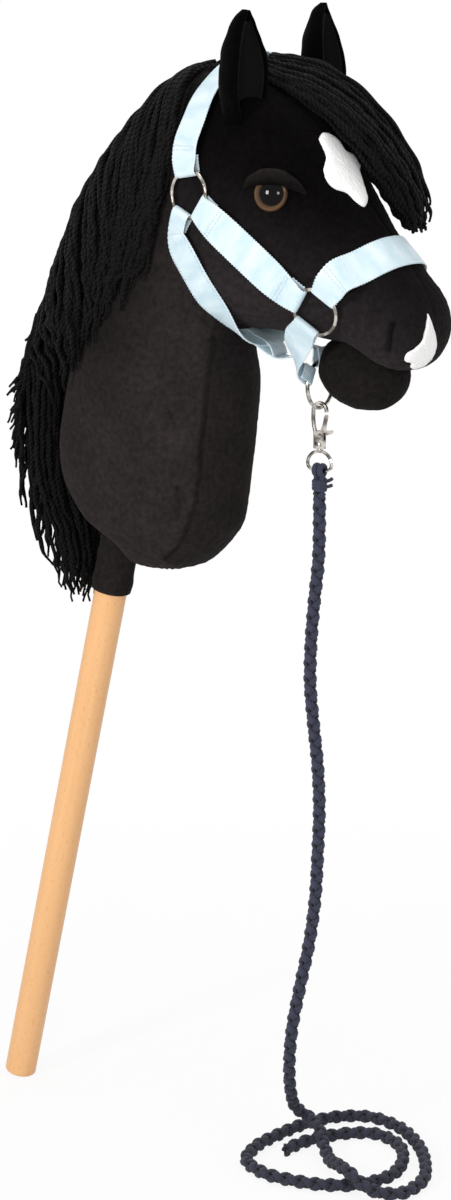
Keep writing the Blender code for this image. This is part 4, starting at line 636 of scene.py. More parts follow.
move = 0.0004 * ripple(jaw_grid, 0.02, 8) + 0.00018 * ripple(jaw_grid, 0.005, 9)
jaw_grid = jaw_grid + normals_of(jaw_grid) * move[..., None]
jaw_ends = JAW_CENTRE - jaw_along * JAW_HALF_LENGTH, JAW_CENTRE + jaw_along * JAW_HALF_LENGTH
jaw = piece("plush_lower_jaw", jaw_grid, neck_plush, stands_for=("lower_jaw",),
            poles=jaw_ends)
# Painted shade: the jaw is the neck's plush, darkened to half.
toned(jaw, 0.50)

# Ears
# Cupped leaves of two layers of plush, turned right side out so that the sewn rim stands up a little,
# with a thin lining glued into the cup. They are sewn on at their open foot, the hollow side forward.
def tree_of(grid):
    """Search tree over a grid whose rows run round, closed at its ends by their middles."""
    rows, columns = grid.shape[:2]
    r, c = (v.ravel() for v in np.meshgrid(np.arange(rows - 1), np.arange(columns), indexing="ij"))
    quads = [r * columns + c, r * columns + (c + 1) % columns, (r + 1) * columns + (c + 1) % columns,
             (r + 1) * columns + c]
    quads = np.stack(quads, -1)
    corners = grid.reshape(-1, 3)[quads[rows * columns // 2]]
    facing = np.cross(corners[1] - corners[0], corners[2] - corners[0])
    turn = 1 if np.dot(facing, corners.mean(0) - grid.mean((0, 1))) > 0 else -1
    return BVHTree.FromPolygons(grid.reshape(-1, 3).tolist(), quads[:, ::turn].tolist())


head_tree = tree_of(smooth_head)
skins = head_tree, tree_of(smooth_neck)


def lifted(points, height):
    """Points moved out until they stand at least this height over the head and over the neck."""
    points = np.asarray(points, float)
    flat = [Vector(p) for p in points.reshape(-1, 3)]
    for _ in range(3):
        for skin in skins:
            for k, point in enumerate(flat):
                near, normal = skin.find_nearest(point)[:2]
                stand = (point - near).dot(normal)
                if stand < height:
                    flat[k] = point + normal * (height - stand)
    return np.array(flat).reshape(points.shape)


def met(starts, direction):
    """Where rays from the starts first meet the head or the neck, and the skin's normals there."""
    found = []
    for start in np.asarray(starts, float).reshape(-1, 3):
        hits = [skin.ray_cast(Vector(start), Vector(direction)) for skin in skins]
        best = min((hit for hit in hits if hit[0] is not None), key=lambda hit: hit[3])
        found.append((*best[0], *best[1]))
    found = np.array(found).reshape(*np.shape(starts)[:-1], 6)
    return found[..., :3], found[..., 3:]


SIDES = (("right", -1), ("left", 1))
EAR_BASES = {-1: (0.2443, 0.0433, 0.7740), 1: (0.2546, 0.0446, 0.7760)}
EAR_TIPS = {-1: (0.2545, 0.0462, 0.8450), 1: (0.2562, 0.0476, 0.8510)}
EAR_FACING = math.radians(4)
EAR_HALF_WIDTH = 0.0195
EAR_WALL = 0.0040
# From foot to tip: share of the height, share of the half width.
EAR_WIDTHS = ((0.0, 0.86), (0.2, 0.97), (0.42, 1.0), (0.65, 0.83), (0.84, 0.52), (0.94, 0.31), (1.0, 0.09))
EAR_ROWS, EAR_COLUMNS = 44, 26


def ear_layer(side, inset, reach=1.0, spread=88):
    """Leaf surface, rows from foot to tip and columns round the cup: a half round whose width follows the
    ear's outline, moved into the cup by inset."""
    base = EAR_BASES[side] * np.array((1, side, 1))
    tip = EAR_TIPS[side] * np.array((1, side, 1))
    upright = unit(tip - base)
    facing = square_to(np.array((math.cos(EAR_FACING), side * math.sin(EAR_FACING), 0.0)), upright)
    across = np.cross(upright, facing)
    h = np.linspace(0.0, reach, EAR_ROWS)[:, None]
    places, widths = np.array(EAR_WIDTHS).T
    width = EAR_HALF_WIDTH * smooth_table(places, widths[:, None], h[:, 0])
    depth = 1.2 * width
    narrow = np.maximum(0.25, 1 - inset / np.maximum(width, 0.001))
    turn = np.radians(np.linspace(-spread, spread, EAR_COLUMNS))
    forward = 0.45 * depth * (1 - h**3) + inset * 0.7 - depth * narrow * np.cos(turn)
    place = (width * narrow * np.sin(turn))[..., None] * across + forward[..., None] * facing
    return base + (tip - base) * h[..., None] + place


def leaf(outer, inner, rim):
    """Closed shell round two layers: each row goes out along the outer layer and back along the inner
    one, with its ends swollen by rim where the layers are sewn together."""
    middle = (outer[:, [0, -1]] + inner[:, [0, -1]]) / 2
    reach = unit(outer[:, [0, -1]] - outer[:, [1, -2]])
    edge = middle + reach * rim
    return np.concatenate([edge[:, :1], outer, edge[:, 1:], inner[:, ::-1]], axis=1)


def seated(rows, depth):
    """Rows of an ear drawn in onto the head towards the first one, which ends a little under the skin."""
    share = np.linspace(1, 0, len(rows))[:, None, None] ** 1.6
    flat = [Vector(p) for p in rows.reshape(-1, 3)]
    found = [head_tree.find_nearest(p)[:2] for p in flat]
    on_skin = np.array([near - normal * depth for near, normal in found]).reshape(rows.shape)
    return rows * (1 - share) + on_skin * share


def grained_finish(name, deep, lit, scale, detail, strength, height, surface):
    """A finish whose fine grain goes between two tones and lifts the surface; surface holds the gloss."""
    made, tree = new_finish(name)
    where = add_node(tree, "TexCoord").outputs["Object"]
    grain = add_node(tree, "TexNoise", {"Vector": where, "Scale": scale, "Detail": detail})
    shade = add_node(tree, "Mix", {0: grain, 6: colour(deep), 7: colour(lit)}, data_type="RGBA")
    lift = add_node(tree, "Bump", {"Height": grain, "Strength": strength, "Distance": height})
    shader = add_node(tree, "BsdfPrincipled", {"Base Color": shade, "Normal": lift, **surface})
    add_node(tree, "OutputMaterial", {"Surface": shader})
    return made


# Brushed polyester tricot: a thin knit, dull and a shade darker than the plush. Its real 0.3 mm loops
# are drawn at about 1 mm.
lining_finish = grained_finish(
    "black_brushed_tricot", "#080707", "#171515", 900.0, 2.0, 0.5, 0.0004,
    {"Roughness": 0.85, "Specular IOR Level": 0.08, "Sheen Weight": 0.03, "Sheen Roughness": 0.4})
for word, side in SIDES:
    shell = leaf(ear_layer(side, 0.0), ear_layer(side, EAR_WALL), 0.0016)
    shell[:14] = seated(shell[:14], 0.0025)
    outwards = unit(shell - shell.mean(1, keepdims=True))
    shell = shell + 0.0003 * ripple(shell, 0.012, 11 + side)[..., None] * outwards
    ear = piece(f"plush_ear_{word}", shell, plush, stands_for=(f"ear_{word}",),
                poles=end_middles(shell))
    # Painted shade: the ears' plush is darkened to under half.
    toned(ear, 0.45)
    outer, inner = (ear_layer(side, EAR_WALL + depth, 0.9, 80) for depth in (0.0002, 0.0014))
    lining = leaf(outer, inner, 0.0)
    lining[:16] = seated(lining[:16], 0.0035)
    tricot = piece(f"ear_lining_cloth_{word}", lining, lining_finish,
                   stands_for=(f"ear_lining_{word}",), poles=end_middles(lining))


# Eyes and eyelids
# Safety eyes: clear domes of moulded acrylic, painted amber with a black pupil behind, on a stem that a
# washer locks inside the head. A folded roll of plush over each makes the lid.
def round_node(name):
    """Middle, unit axis and points of a round CAD node; the axis is the way its points spread least."""
    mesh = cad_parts[name].data
    points = np.empty(len(mesh.vertices) * 3)
    mesh.vertices.foreach_get("co", points)
    points = points.reshape(-1, 3)
    middle = points.mean(0)
    return middle, np.linalg.svd(points - middle, full_matrices=False)[2][2], points


def finish_node(name, finish):
    """Give a CAD node, whose shape is right, its material."""
    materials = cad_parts[name].data.materials
    materials.clear()
    materials.append(finish)


def turned(profile, place, axis, sides, towards=(0.001, 0.001, 1.001)):
    """Points of a profile of (radius, height) rows, turned about an axis at a place; the first column
    lies towards a direction."""
    profile = np.asarray(profile, float)
    first = square_to(np.array(towards), axis)
    turn = once_round(sides)[:, None]
    spokes = np.cos(turn) * first + np.sin(turn) * np.cross(axis, first)
    return place + profile[:, None, :1] * spokes + profile[:, None, 1:] * axis


# Clear acrylic over paint: a wet gloss with small sharp lights. The iris is brown, lightest near its dark
# rim, with a fine 1.5 mm mottle, and the pupil sits a little forward.
EYE_RADIUS = 0.0125
PUPIL_RADIUS = 0.0086
PUPIL_PLACE = (0.0003, 0.0017)
# Shares of the eye's radius, and the paint there.
IRIS_STOPS = (
    (0.0, "#3a281a"), (0.60, "#3f2c1e"), (0.74, "#523d2b"), (0.86, "#634a32"), (0.94, "#3b2a1c"),
    (1.0, "#0b0807"),
)
eye_finish, tree = new_finish("painted_acrylic_eye")
where = add_node(tree, "TexCoord").outputs["Object"]
flat_place = add_node(tree, "UVMap", uv_map="cloth")
from_middle = add_node(tree, "VectorMath", {0: flat_place}, operation="LENGTH")
from_pupil = add_node(tree, "VectorMath", {0: flat_place, 1: (*PUPIL_PLACE, 0.0)}, operation="DISTANCE")
out_to_rim = add_node(tree, "Math", {0: from_middle, 1: EYE_RADIUS}, operation="DIVIDE")
paint = add_node(tree, "ValToRGB", {"Fac": out_to_rim})
for k, (place, code) in enumerate(IRIS_STOPS):
    stop = paint.color_ramp.elements[k] if k < 2 else paint.color_ramp.elements.new(place)
    stop.position = place
    stop.color = colour(code)
grain = add_node(tree, "TexNoise", {"Vector": where, "Scale": 700.0})
mottle = add_node(tree, "MapRange", {0: grain, 3: 0.8, 4: 1.15})
iris = add_node(tree, "Mix", {0: 1.0, 6: paint, 7: mottle}, data_type="RGBA", blend_type="MULTIPLY")
off_pupil = add_node(tree, "MapRange", {0: from_pupil, 1: PUPIL_RADIUS - 0.0004, 2: PUPIL_RADIUS + 0.0005})
painted = add_node(tree, "Mix", {0: off_pupil, 6: colour("#040303"), 7: iris}, data_type="RGBA")
shader = add_node(tree, "BsdfPrincipled", {
    "Base Color": painted, "Roughness": 0.5, "Specular IOR Level": 0.0, "Coat Weight": 1.0,
    "Coat Roughness": 0.02, "Coat IOR": 1.22})
add_node(tree, "OutputMaterial", {"Surface": shader})

# Washers of black moulded polyethylene, dull, with a fine moulded grain; they are hidden in the filling.
washer_finish = grained_finish(
    "moulded_black_polyethylene", "#131314", "#242426", 1200.0, 2.0, 0.3, 0.0002, {"Roughness": 0.5})

DOME_FOOT, DOME_RISE = 0.0012, 0.0056
DOME_TOP = DOME_FOOT + DOME_RISE
STEM_RADIUS, STEM_LENGTH = 0.0026, 0.0130
EYE_SIDES = 64
rise = np.linspace(0, np.pi / 2, 26)[1:]
eye_profile = np.concatenate([
    np.stack([EYE_RADIUS * np.sin(rise), DOME_FOOT + DOME_RISE * np.cos(rise)], -1),
    [(EYE_RADIUS, 0.0), (STEM_RADIUS + 0.0004, 0.0), (STEM_RADIUS, -0.0004),
     (STEM_RADIUS, 0.0002 - STEM_LENGTH)],
])
# The lid's middle line, from the outer to the inner corner, in side view from the eye's middle.
LID_ROUTE = ((-0.0195, 0.0030), (-0.0140, 0.0078), (-0.0070, 0.0106), (0.0005, 0.0112), (0.0080, 0.0098),
             (0.0150, 0.0056), (0.0222, 0.0000))
LID_STEPS = 60
for word, side in SIDES:
    middle, axis, points = round_node(f"eye_{word}")
    axis = axis * np.sign(axis[1]) * side
    seat = middle + axis * (((points - middle) @ axis).max() - DOME_TOP)
    grid = turned(eye_profile, seat, axis, EYE_SIDES)
    spread = np.linspace(0, 2 * np.pi, EYE_SIDES + 1)
    uv = np.stack([eye_profile[:, :1] * np.cos(spread), side * eye_profile[:, :1] * np.sin(spread)], -1)
    piece(f"safety_eye_{word}", grid, eye_finish, stands_for=(f"eye_{word}",),
          poles=(seat + axis * DOME_TOP, seat - axis * STEM_LENGTH), uv=uv)

    route = smooth_path(LID_ROUTE, LID_STEPS)
    starts = seat + np.stack([route[:, 0], np.full(LID_STEPS, side * 0.1), route[:, 1]], -1)
    on_skin, normals = met(starts, (0.0, -side, 0.0))
    swell = np.sin(np.linspace(0.06, np.pi - 0.06, LID_STEPS))
    lid_path = on_skin + normals * (0.0004 + 0.0042 * swell**1.3)[:, None]
    for _ in range(3):
        lid_path[1:-1] = (lid_path[:-2] + 2 * lid_path[1:-1] + lid_path[2:]) / 4
    grid = tube(lid_path, normals, 0.0056 * swell**0.75, 0.0037 * swell**0.7, 28)[0]
    out = unit(grid - lid_path[:, None])
    grid = grid + out * 0.00025 * ripple(grid, 0.009, 20)[..., None]
    lid = piece(f"plush_eyelid_{word}", grid, neck_plush, stands_for=(f"eyelid_{word}",),
                poles=lid_path[[0, -1]])
    # Painted light and shade: the lid is lighter on top and darker below.
    lit_from_above = np.clip((grid - lid_path[:, None])[..., 2] / 0.0050, -1, 1)
    toned(lid, 0.36 + 0.28 * lit_from_above)
    finish_node(f"eye_washer_{word}", washer_finish)

# Star and snip
# Markings on the forehead and the nose: white short-pile plush, cut to shape, laid over the black and
# sewn down round their edges.
STAR_ALONG, STAR_SIDE = 0.0560, -0.0085
STAR_OUTLINE = (
    (-0.0215, -0.0100), (-0.0250, -0.0030), (-0.0229, 0.0043), (-0.0185, 0.0088), (-0.0109, 0.0100),
    (-0.0055, 0.0205), (-0.0004, 0.0220), (0.0047, 0.0166), (0.0146, 0.0120), (0.0289, 0.0039),
    (0.0311, -0.0016), (0.0265, -0.0055), (0.0185, -0.0088), (0.0116, -0.0160), (0.0054, -0.0184),
    (-0.0019, -0.0178), (-0.0092, -0.0122), (-0.0160, -0.0108),
)
SNIP_ACROSS, SNIP_SIDE = 0.0080, -0.0110
SNIP_OUTLINE = (
    (0.0175, 0.0025), (0.0110, 0.0075), (0.0040, 0.0125), (-0.0050, 0.0140), (-0.0140, 0.0115),
    (-0.0175, 0.0060), (-0.0175, -0.0030), (-0.0125, -0.0080), (-0.0110, -0.0150), (-0.0070, -0.0165),
    (-0.0020, -0.0110), (0.0030, -0.0050), (0.0100, -0.0015),
)
# From the sewn edge inwards: share of the outline's size, and height over the skin.
PATCH_RINGS = np.array((
    (1.0, 0.0001), (0.97, 0.0012), (0.90, 0.0019), (0.78, 0.0021), (0.62, 0.0022), (0.45, 0.0022),
    (0.27, 0.0022), (0.10, 0.0022),
))
PATCH_UNDER = 0.0006
# White velboa: the black plush's pile in white, matt and bright, in clumps of about 1.5 mm.
white_plush = grained_finish(
    "white_velboa_plush", "#f4f3f1", "#ffffff", 650.0, 3.0, 0.6, 0.0008,
    {"Roughness": 0.9, "Sheen Weight": 0.1, "Sheen Roughness": 0.4})


def patch(name, node, outline, direction, place):
    """A patch over the skin: rings of its smoothed outline shrunk to its middle, met by rays that start
    well outside and run in a direction, and raised, thick in the middle and thin at the sewn edge."""
    outline = smooth_path(outline + outline[:1], 81)[:-1]
    middle = outline.mean(0)
    shrink, rise = PATCH_RINGS.T[..., None, None]
    flat = middle + (outline - middle) * shrink
    on_skin, normals = met(place(flat[..., 0], flat[..., 1]), direction)
    top = on_skin + normals * (rise + 0.00015 * ripple(on_skin, 0.004, 31)[..., None])
    under = on_skin - normals * PATCH_UNDER
    grid = np.concatenate([top[::-1], under[:1]])
    made = piece(name, grid, white_plush, stands_for=(node,),
                 poles=(top[-1].mean(0), under[-1].mean(0)))


patch("star_cloth", "star_patch", STAR_OUTLINE, -HEAD_ACROSS,
      lambda along, y: on_head(STAR_ALONG + along, 0.2, STAR_SIDE + y))
patch("snip_cloth", "snip_patch", SNIP_OUTLINE, -HEAD_ALONG,
      lambda across, y: on_head(0.35, SNIP_ACROSS + across, SNIP_SIDE + y))

# Halter rings
# Bent from 2.8 mm steel wire and welded, then nickel plated: two on each cheek, which the straps are
# folded round, and one under the chin for the lead.

# Nickel plate: bright and a little warm, with cloudy smears from handling, 6 mm wide, and fine pits of
# about 1 mm.
nickel, tree = new_finish("nickel_plated_steel")
where = add_node(tree, "TexCoord").outputs["Object"]
smears = add_node(tree, "TexNoise", {"Vector": where, "Scale": 170.0, "Detail": 3.0})
gloss = add_node(tree, "MapRange", {0: smears, 3: 0.10, 4: 0.26})
worn = add_node(tree, "MapRange", {0: smears, 1: 0.40, 2: 0.60})
plate = add_node(tree, "Mix", {0: worn, 6: colour("#716a64"), 7: colour("#d2cdc5")}, data_type="RGBA")
pits = add_node(tree, "TexNoise", {"Vector": where, "Scale": 900.0, "Detail": 2.0})
lift = add_node(tree, "Bump", {"Height": pits, "Strength": 0.15, "Distance": 0.0002})
shader = add_node(tree, "BsdfPrincipled", {
    "Base Color": plate, "Metallic": 1.0, "Roughness": gloss, "Normal": lift})
add_node(tree, "OutputMaterial", {"Surface": shader})

RING_RADIUS = 0.0165
RING_WIRE = 0.0014
# A ring's normal points outwards on the cheeks, and forwards under the chin.
RING_SIDES = {"upper_ring_right": -1, "upper_ring_left": 1, "lower_ring_right": -1, "lower_ring_left": 1,
              "chin_ring": 0}
bend = once_round(16)
wire_section = np.stack([RING_RADIUS + RING_WIRE * np.cos(bend), RING_WIRE * np.sin(bend)], -1)
rings = {}
for word, side in RING_SIDES.items():
    centre, normal, _ = round_node(word)
    normal = normal * np.sign(normal[1] * side if side else normal[0])
    rings[word] = centre, normal
    wire = turned(wire_section, centre, normal, 96, (0.0, 0.3, 1.0))
    piece(f"wire_{word}", wire, nickel, stands_for=(word,))

# Trigger snap
# Die-cast zinc body with its hook, a sprung gate on a rivet, and a swivel loop on a headed post, all
# nickel plated as the rings are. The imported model's own solids show, with the plate's finish.
for word in ("snap_body", "gate_rivet", "snap_gate", "swivel_loop"):
    finish_node(word, nickel)

# Halter webbing
# Light blue polyester webbing, 25 mm wide, satin faced, with small loops of weft along both edges. Each
# strap is folded round a ring and sewn back on itself; stitch rows cross the folds.
WEBBING_WIDTH = 0.025
WEBBING_THICKNESS = 0.0013
FOLD_LENGTH = 0.013
FOLD_HALF_WIDTH = 0.0096
FOLD_RADIUS = RING_WIRE + 0.00062 + 0.0006
LAY_HEIGHT = 0.0016
DOUBLE_HEIGHT = LAY_HEIGHT + 0.0016
# Places across a strap, as shares of its half width.
SPREAD = np.linspace(-1, 1, 4)


def fold_rows(ring, outwards, on_skin=True, half_width=FOLD_HALF_WIDTH):
    """Rows of a fold over a ring: the sewn-back layer, the half turn round the wire, the outer layer. A
    full-width strap is gathered in the ring and spreads again over the fold's length."""
    centre, normal = ring
    outwards = square_to(np.asarray(outwards, float), normal)
    sideways = np.cross(normal, outwards)
    turn = np.radians(np.linspace(-90, 84, 9))
    # Rows of the fold: distance past the wire's middle, and height over the ring's plane.
    distance = np.concatenate([[FOLD_LENGTH * 0.85, FOLD_LENGTH * 0.42], -FOLD_RADIUS * np.cos(turn),
                               [FOLD_LENGTH * 0.45, FOLD_LENGTH]])[:, None]
    height = np.concatenate([[-FOLD_RADIUS * 0.45, -FOLD_RADIUS * 0.8], FOLD_RADIUS * np.sin(turn),
                             [FOLD_RADIUS * 0.9, FOLD_RADIUS * 0.55 + 0.0002]])[:, None]
    gathered = (WEBBING_WIDTH / 2 - FOLD_HALF_WIDTH) * (half_width > 0.008)
    width = half_width + gathered * np.clip(distance / FOLD_LENGTH, 0, 1)
    width[:2] *= 0.93
    away = np.sqrt(RING_RADIUS**2 - (SPREAD * half_width) ** 2) + distance
    rows = centre + away[..., None] * outwards + (SPREAD * width)[..., None] * sideways
    rows = rows + height[..., None] * normal
    if on_skin:
        rows[:2] = lifted(rows[:2], LAY_HEIGHT)
        rows[-2:] = lifted(rows[-2:], DOUBLE_HEIGHT)
    return rows


def laid_rows(route, hang=None):
    """Rows of a strap laid along a route. Each row stays straight across, as webbing does, and is raised
    until it clears the plush; hang gives the normal where the strap hangs free."""
    length = run_along(np.asarray(route, float))[-1]
    middle = lifted(smooth_path(route, max(5, round(length / 0.005))), LAY_HEIGHT)
    normals = []
    for point in middle:
        stands = [skin.find_nearest(Vector(point)) for skin in skins]
        normals.append(min(stands, key=lambda found: (Vector(point) - found[0]).dot(found[1]))[1])
    normals = np.array(normals)
    for _ in range(4):
        ends = np.concatenate([normals[:1], normals, normals[-1:]])
        normals = unit(ends[:-2] + 2 * ends[1:-1] + ends[2:])
    if hang:
        free, share = hang(middle)
        normals = normals * (1 - share) + free * share
    along = unit(np.gradient(middle, axis=0))
    normals = square_to(normals, along)
    sideways = np.cross(normals, along)
    across = (SPREAD * WEBBING_WIDTH / 2)[:, None] * sideways[:, None]
    for _ in range(3):
        rows = middle[:, None] + across
        low = np.sum((lifted(rows, LAY_HEIGHT) - rows) * normals[:, None], -1).max(1)
        middle = middle + normals * np.maximum(0, low)[:, None]
    return middle[:, None] + across


def soft_step(share):
    """0 to 1 with a soft start and a soft end."""
    return share * share * (3 - 2 * share)


# Satin-faced polyester: light blue with a soft gloss and cloudy patches of painted sheen, fine warp lines
# along it and a dull edge. Warp ends of 0.35 mm are drawn at 1.2 mm, so that they show, and the weft's
# ribs at 1.6 mm.
webbing, tree = new_finish("light_blue_polyester_webbing")
cloth = add_node(tree, "UVMap", uv_map="cloth")
turned_cloth = add_node(tree, "Mapping", {"Vector": cloth, "Rotation": (0, 0, math.radians(90))})
warp = add_node(tree, "TexWave", {
    "Vector": turned_cloth, "Scale": WAVE_LENGTH / 0.0012, "Distortion": 0.4, "Detail": 1.0}).outputs["Fac"]
weft = add_node(tree, "TexWave", {
    "Vector": cloth, "Scale": WAVE_LENGTH / 0.0016, "Distortion": 0.5}).outputs["Fac"]
weave = add_node(tree, "Mix", {0: 0.35, 2: warp, 3: weft}, data_type="FLOAT")
wrinkled = add_node(tree, "Mapping", {"Vector": cloth, "Rotation": (0, 0, 0.5), "Scale": (1.0, 0.45, 1.0)})
cloudy = add_node(tree, "TexNoise", {"Vector": wrinkled, "Scale": 75.0, "Detail": 3.0})
# Painted sheen: cloudy patches where the webbing's colour is painted paler.
sheen = add_node(tree, "MapRange", {0: cloudy, 1: 0.35, 2: 0.68})
thread = add_node(tree, "Mix", {0: weave, 6: colour("#b9d5e2"), 7: colour("#d5e9f3")}, data_type="RGBA")
dye_and_painted_sheen = add_node(tree, "Mix", {0: sheen, 6: thread, 7: colour("#e2f2f9")}, data_type="RGBA")
soft = add_node(tree, "Math", {0: cloudy, 1: 6.0, 2: weave}, operation="MULTIPLY_ADD")
lift = add_node(tree, "Bump", {"Height": soft, "Strength": 0.4, "Distance": 0.0004})
gloss = add_node(tree, "MapRange", {0: cloudy, 3: 0.28, 4: 0.50})
shader = add_node(tree, "BsdfPrincipled", {
    "Base Color": by_tone(tree, dye_and_painted_sheen), "Roughness": gloss, "Normal": lift, "Specular IOR Level": 0.45,
    "Subsurface Weight": 0.5, "Subsurface Scale": 0.003, "Subsurface Radius": (1.0, 1.0, 1.0),
    "Sheen Weight": 0.05, "Sheen Roughness": 0.3})
add_node(tree, "OutputMaterial", {"Surface": shader})

PICOT_HEIGHT, PICOT_PITCH = 0.00035, 0.0022
SEWN_LENGTH, EASING_LENGTH = 0.023, 0.012
AFTER_FOLD = FOLD_LENGTH + 0.007
STRAP_STEP = 0.0007
straps = {}


def strap(name, *rows, tone=1.0):
    """One length of webbing through its rows, the last of which are a fold, taken from its inner end: a
    flat round-edged band, its edges scalloped by the small loops of weft. Past the folds the rows are
    evened out, so that it lies in smooth bends."""
    rows = np.concatenate([*rows[:-1], rows[-1][::-1, ::-1]])
    flat = rows.reshape(len(rows), -1)
    count = round(run_along(rows.mean(1))[-1] / STRAP_STEP)
    rows = smooth_path(flat, count)
    run = run_along(rows.reshape(count, 4, 3).mean(1))
    eased = rows
    for _ in range(60):
        inner = (eased[:-4] + eased[1:-3] + eased[2:-2] + eased[3:-1] + eased[4:]) / 5
        eased = np.concatenate([eased[:2], inner, eased[-2:]])
    from_end = np.minimum(run, run[-1] - run)
    laid = soft_step(np.clip((from_end - SEWN_LENGTH) / EASING_LENGTH, 0, 1)[:, None])
    rows = (rows * (1 - laid) + eased * laid).reshape(count, 4, 3)
    middle = rows.mean(1)
    run = run_along(middle)
    along = unit(np.gradient(middle, axis=0))
    across = rows[:, -1] - rows[:, 0]
    half = np.linalg.norm(across, axis=1)[:, None] / 2
    across = unit(across)
    normal = unit(np.cross(along, across))
    half = half + PICOT_HEIGHT * np.sin(2 * np.pi * run / PICOT_PITCH)[:, None]
    v, h = superellipse(once_round(28), 7.0)
    v = np.sign(v) * np.abs(v) ** 1.9
    h = np.where(np.abs(v) > 0.985, h * 0.8, h)
    grid = middle[:, None] + (half * v)[..., None] * across[:, None]
    grid = grid + (h * WEBBING_THICKNESS / 2)[:, None] * normal[:, None]
    girth = np.concatenate([v, v[:1]]) * WEBBING_WIDTH / 2
    uv = np.stack(np.broadcast_arrays(run[:, None], girth + 0 * run[:, None]), -1)
    straps[name] = middle, across, normal, half, run
    made = piece(f"webbing_{name}", grid, webbing, stands_for=(name,),
                 poles=middle[[0, -1]], uv=uv)
    toned(made, tone)


def ringed_strap(name, first, first_out, last, last_out, middle=(), hang=None, after=AFTER_FOLD,
                 **fold):
    """A strap folded over two rings, each left in its own direction, and laid over the plush through its
    middle points; after is where its free length starts, from a ring's wire."""
    ends = [ring[0] + square_to(np.asarray(out, float), ring[1]) * (RING_RADIUS + after)
            for ring, out in ((first, first_out), (last, last_out))]
    strap(name, fold_rows(first, first_out, **fold), laid_rows([ends[0], *middle, ends[1]], hang),
          fold_rows(last, last_out, **fold))


MIRROR = np.array((1.0, -1.0, 1.0))
right_upper, left_upper = rings["upper_ring_right"], rings["upper_ring_left"]
right_lower, left_lower = rings["lower_ring_right"], rings["lower_ring_left"]
ringed_strap("cheek_strap_right", right_upper, HEAD_ALONG, right_lower, -HEAD_ALONG)
ringed_strap("cheek_strap_left", left_upper, HEAD_ALONG, left_lower, -HEAD_ALONG)

over_nose = on_head([0.1220, 0.1235, 0.1220], [0.029, 0.035, 0.029], [-0.024, 0.0, 0.024])
ringed_strap("noseband", right_lower, HEAD_ACROSS, left_lower, HEAD_ACROSS, over_nose)

crown_out = HEAD_ALONG * -0.71 + HEAD_ACROSS * 0.70
crown_half = on_head([-0.0385, -0.0465, -0.0520, -0.0550], [0.0265, 0.0400, 0.0540, 0.0655],
                     [-0.050, -0.043, -0.031, -0.018])
over_crown = [*crown_half, on_head(-0.0550, 0.0720, 0.0), *(crown_half[::-1] * MIRROR)]
ringed_strap("crown_strap", right_upper, crown_out, left_upper, crown_out, over_crown)

THROAT_LOW = np.array((0.2355, 0.0, 0.6180))
THROAT_TILT = math.radians(24)
throat_down = np.array((-math.sin(THROAT_TILT), 0.0, -math.cos(THROAT_TILT)))
throat_out = HEAD_ALONG * 0.22 - HEAD_ACROSS * 0.975


def throat_hang(points):
    """Normal of the throat strap where it hangs free, sideways beside the jowls and downwards under them,
    and how far that normal holds."""
    under = soft_step(np.clip((0.046 - np.abs(points[:, 1:2])) / 0.022, 0, 1))
    beside = np.stack([np.full(len(points), -0.25), np.sign(points[:, 1]) * 0.97,
                       np.full(len(points), -0.10)], -1)
    return beside * (1 - under) + throat_down * under, 0.85 + 0.15 * under


throat_half = np.array([
    on_head(0.0165, -0.0510, -0.0545), on_head(0.0335, -0.0600, -0.0495), on_head(0.0505, -0.0665, -0.043),
    THROAT_LOW + (-0.0015, -0.0240, 0.0030), THROAT_LOW + (0.0, -0.0110, 0.0),
])
under_throat = [*throat_half, *(throat_half[::-1] * MIRROR)]
ringed_strap("throat_strap", right_upper, throat_out, left_upper, throat_out, under_throat, throat_hang,
             FOLD_LENGTH + 0.005, half_width=0.0078)

# The chin straps and the connecting strap hang free, and are narrow where they share the chin ring.
CHIN_HALF_WIDTH = 0.0062
CHIN_ANGLE = math.radians(62)
chin_centre, chin_normal = rings["chin_ring"]
for word, side in SIDES:
    chin_out = np.array((0.0, side * math.sin(CHIN_ANGLE), math.cos(CHIN_ANGLE)))
    top_rows = fold_rows(rings[f"lower_ring_{word}"], -HEAD_ACROSS)
    end_rows = fold_rows((chin_centre, chin_normal * side), chin_out, False, CHIN_HALF_WIDTH)
    between = bent(top_rows[-1], end_rows[-1, ::-1], -0.030 * HEAD_ACROSS, -0.020 * chin_out,
                   np.linspace(0, 1, 9)[1:-1, None, None])
    # Painted shade: the chin straps' webbing is darkened a little.
    strap(f"chin_strap_{word}", top_rows, between, end_rows, tone=0.86)

# Round the throat strap at its lowest place, in the throat's own plane: forwards and upwards.
LINK_LOOP = np.array((
    (0.0210, -0.0034), (0.0170, 0.0006), (0.0130, 0.0024), (0.0000, 0.0027), (-0.0136, 0.0024),
    (-0.0156, 0.0000), (-0.0136, -0.0026), (0.0000, -0.0030), (0.0130, -0.0042), (0.0240, -0.0062),
))
throat_forward = np.array((math.cos(THROAT_TILT), 0.0, -math.sin(THROAT_TILT)))
link_rows = THROAT_LOW + LINK_LOOP[:, :1] * throat_forward - LINK_LOOP[:, 1:] * throat_down
link_rows = link_rows[:, None] + (SPREAD * CHIN_HALF_WIDTH * 1.5)[:, None] * SIDEWAYS
strap("connecting_strap", link_rows,
      fold_rows((chin_centre, -chin_normal), (0.0, 0.0, 1.0), False, CHIN_HALF_WIDTH))

# Stitching
# Lockstitch in pale blue polyester thread: rows across each fold, one along each edge of the throat
# strap, and a slanting row where each chin strap is joined.
STITCH = 0.0021
STITCH_PITCH = 0.0029
STITCH_RADII = 0.00032 * np.array([0.55, 0.95, 1.0, 0.95, 0.55])
# Spun polyester: matt, with pale flecks painted on as fibre ends that catch the light.
thread_finish = grained_finish(
    "pale_blue_sewing_thread", "#93b3c4", "#e9f4f9", 1500.0, 2.0, 0.4, 0.0002, {"Roughness": 0.5})


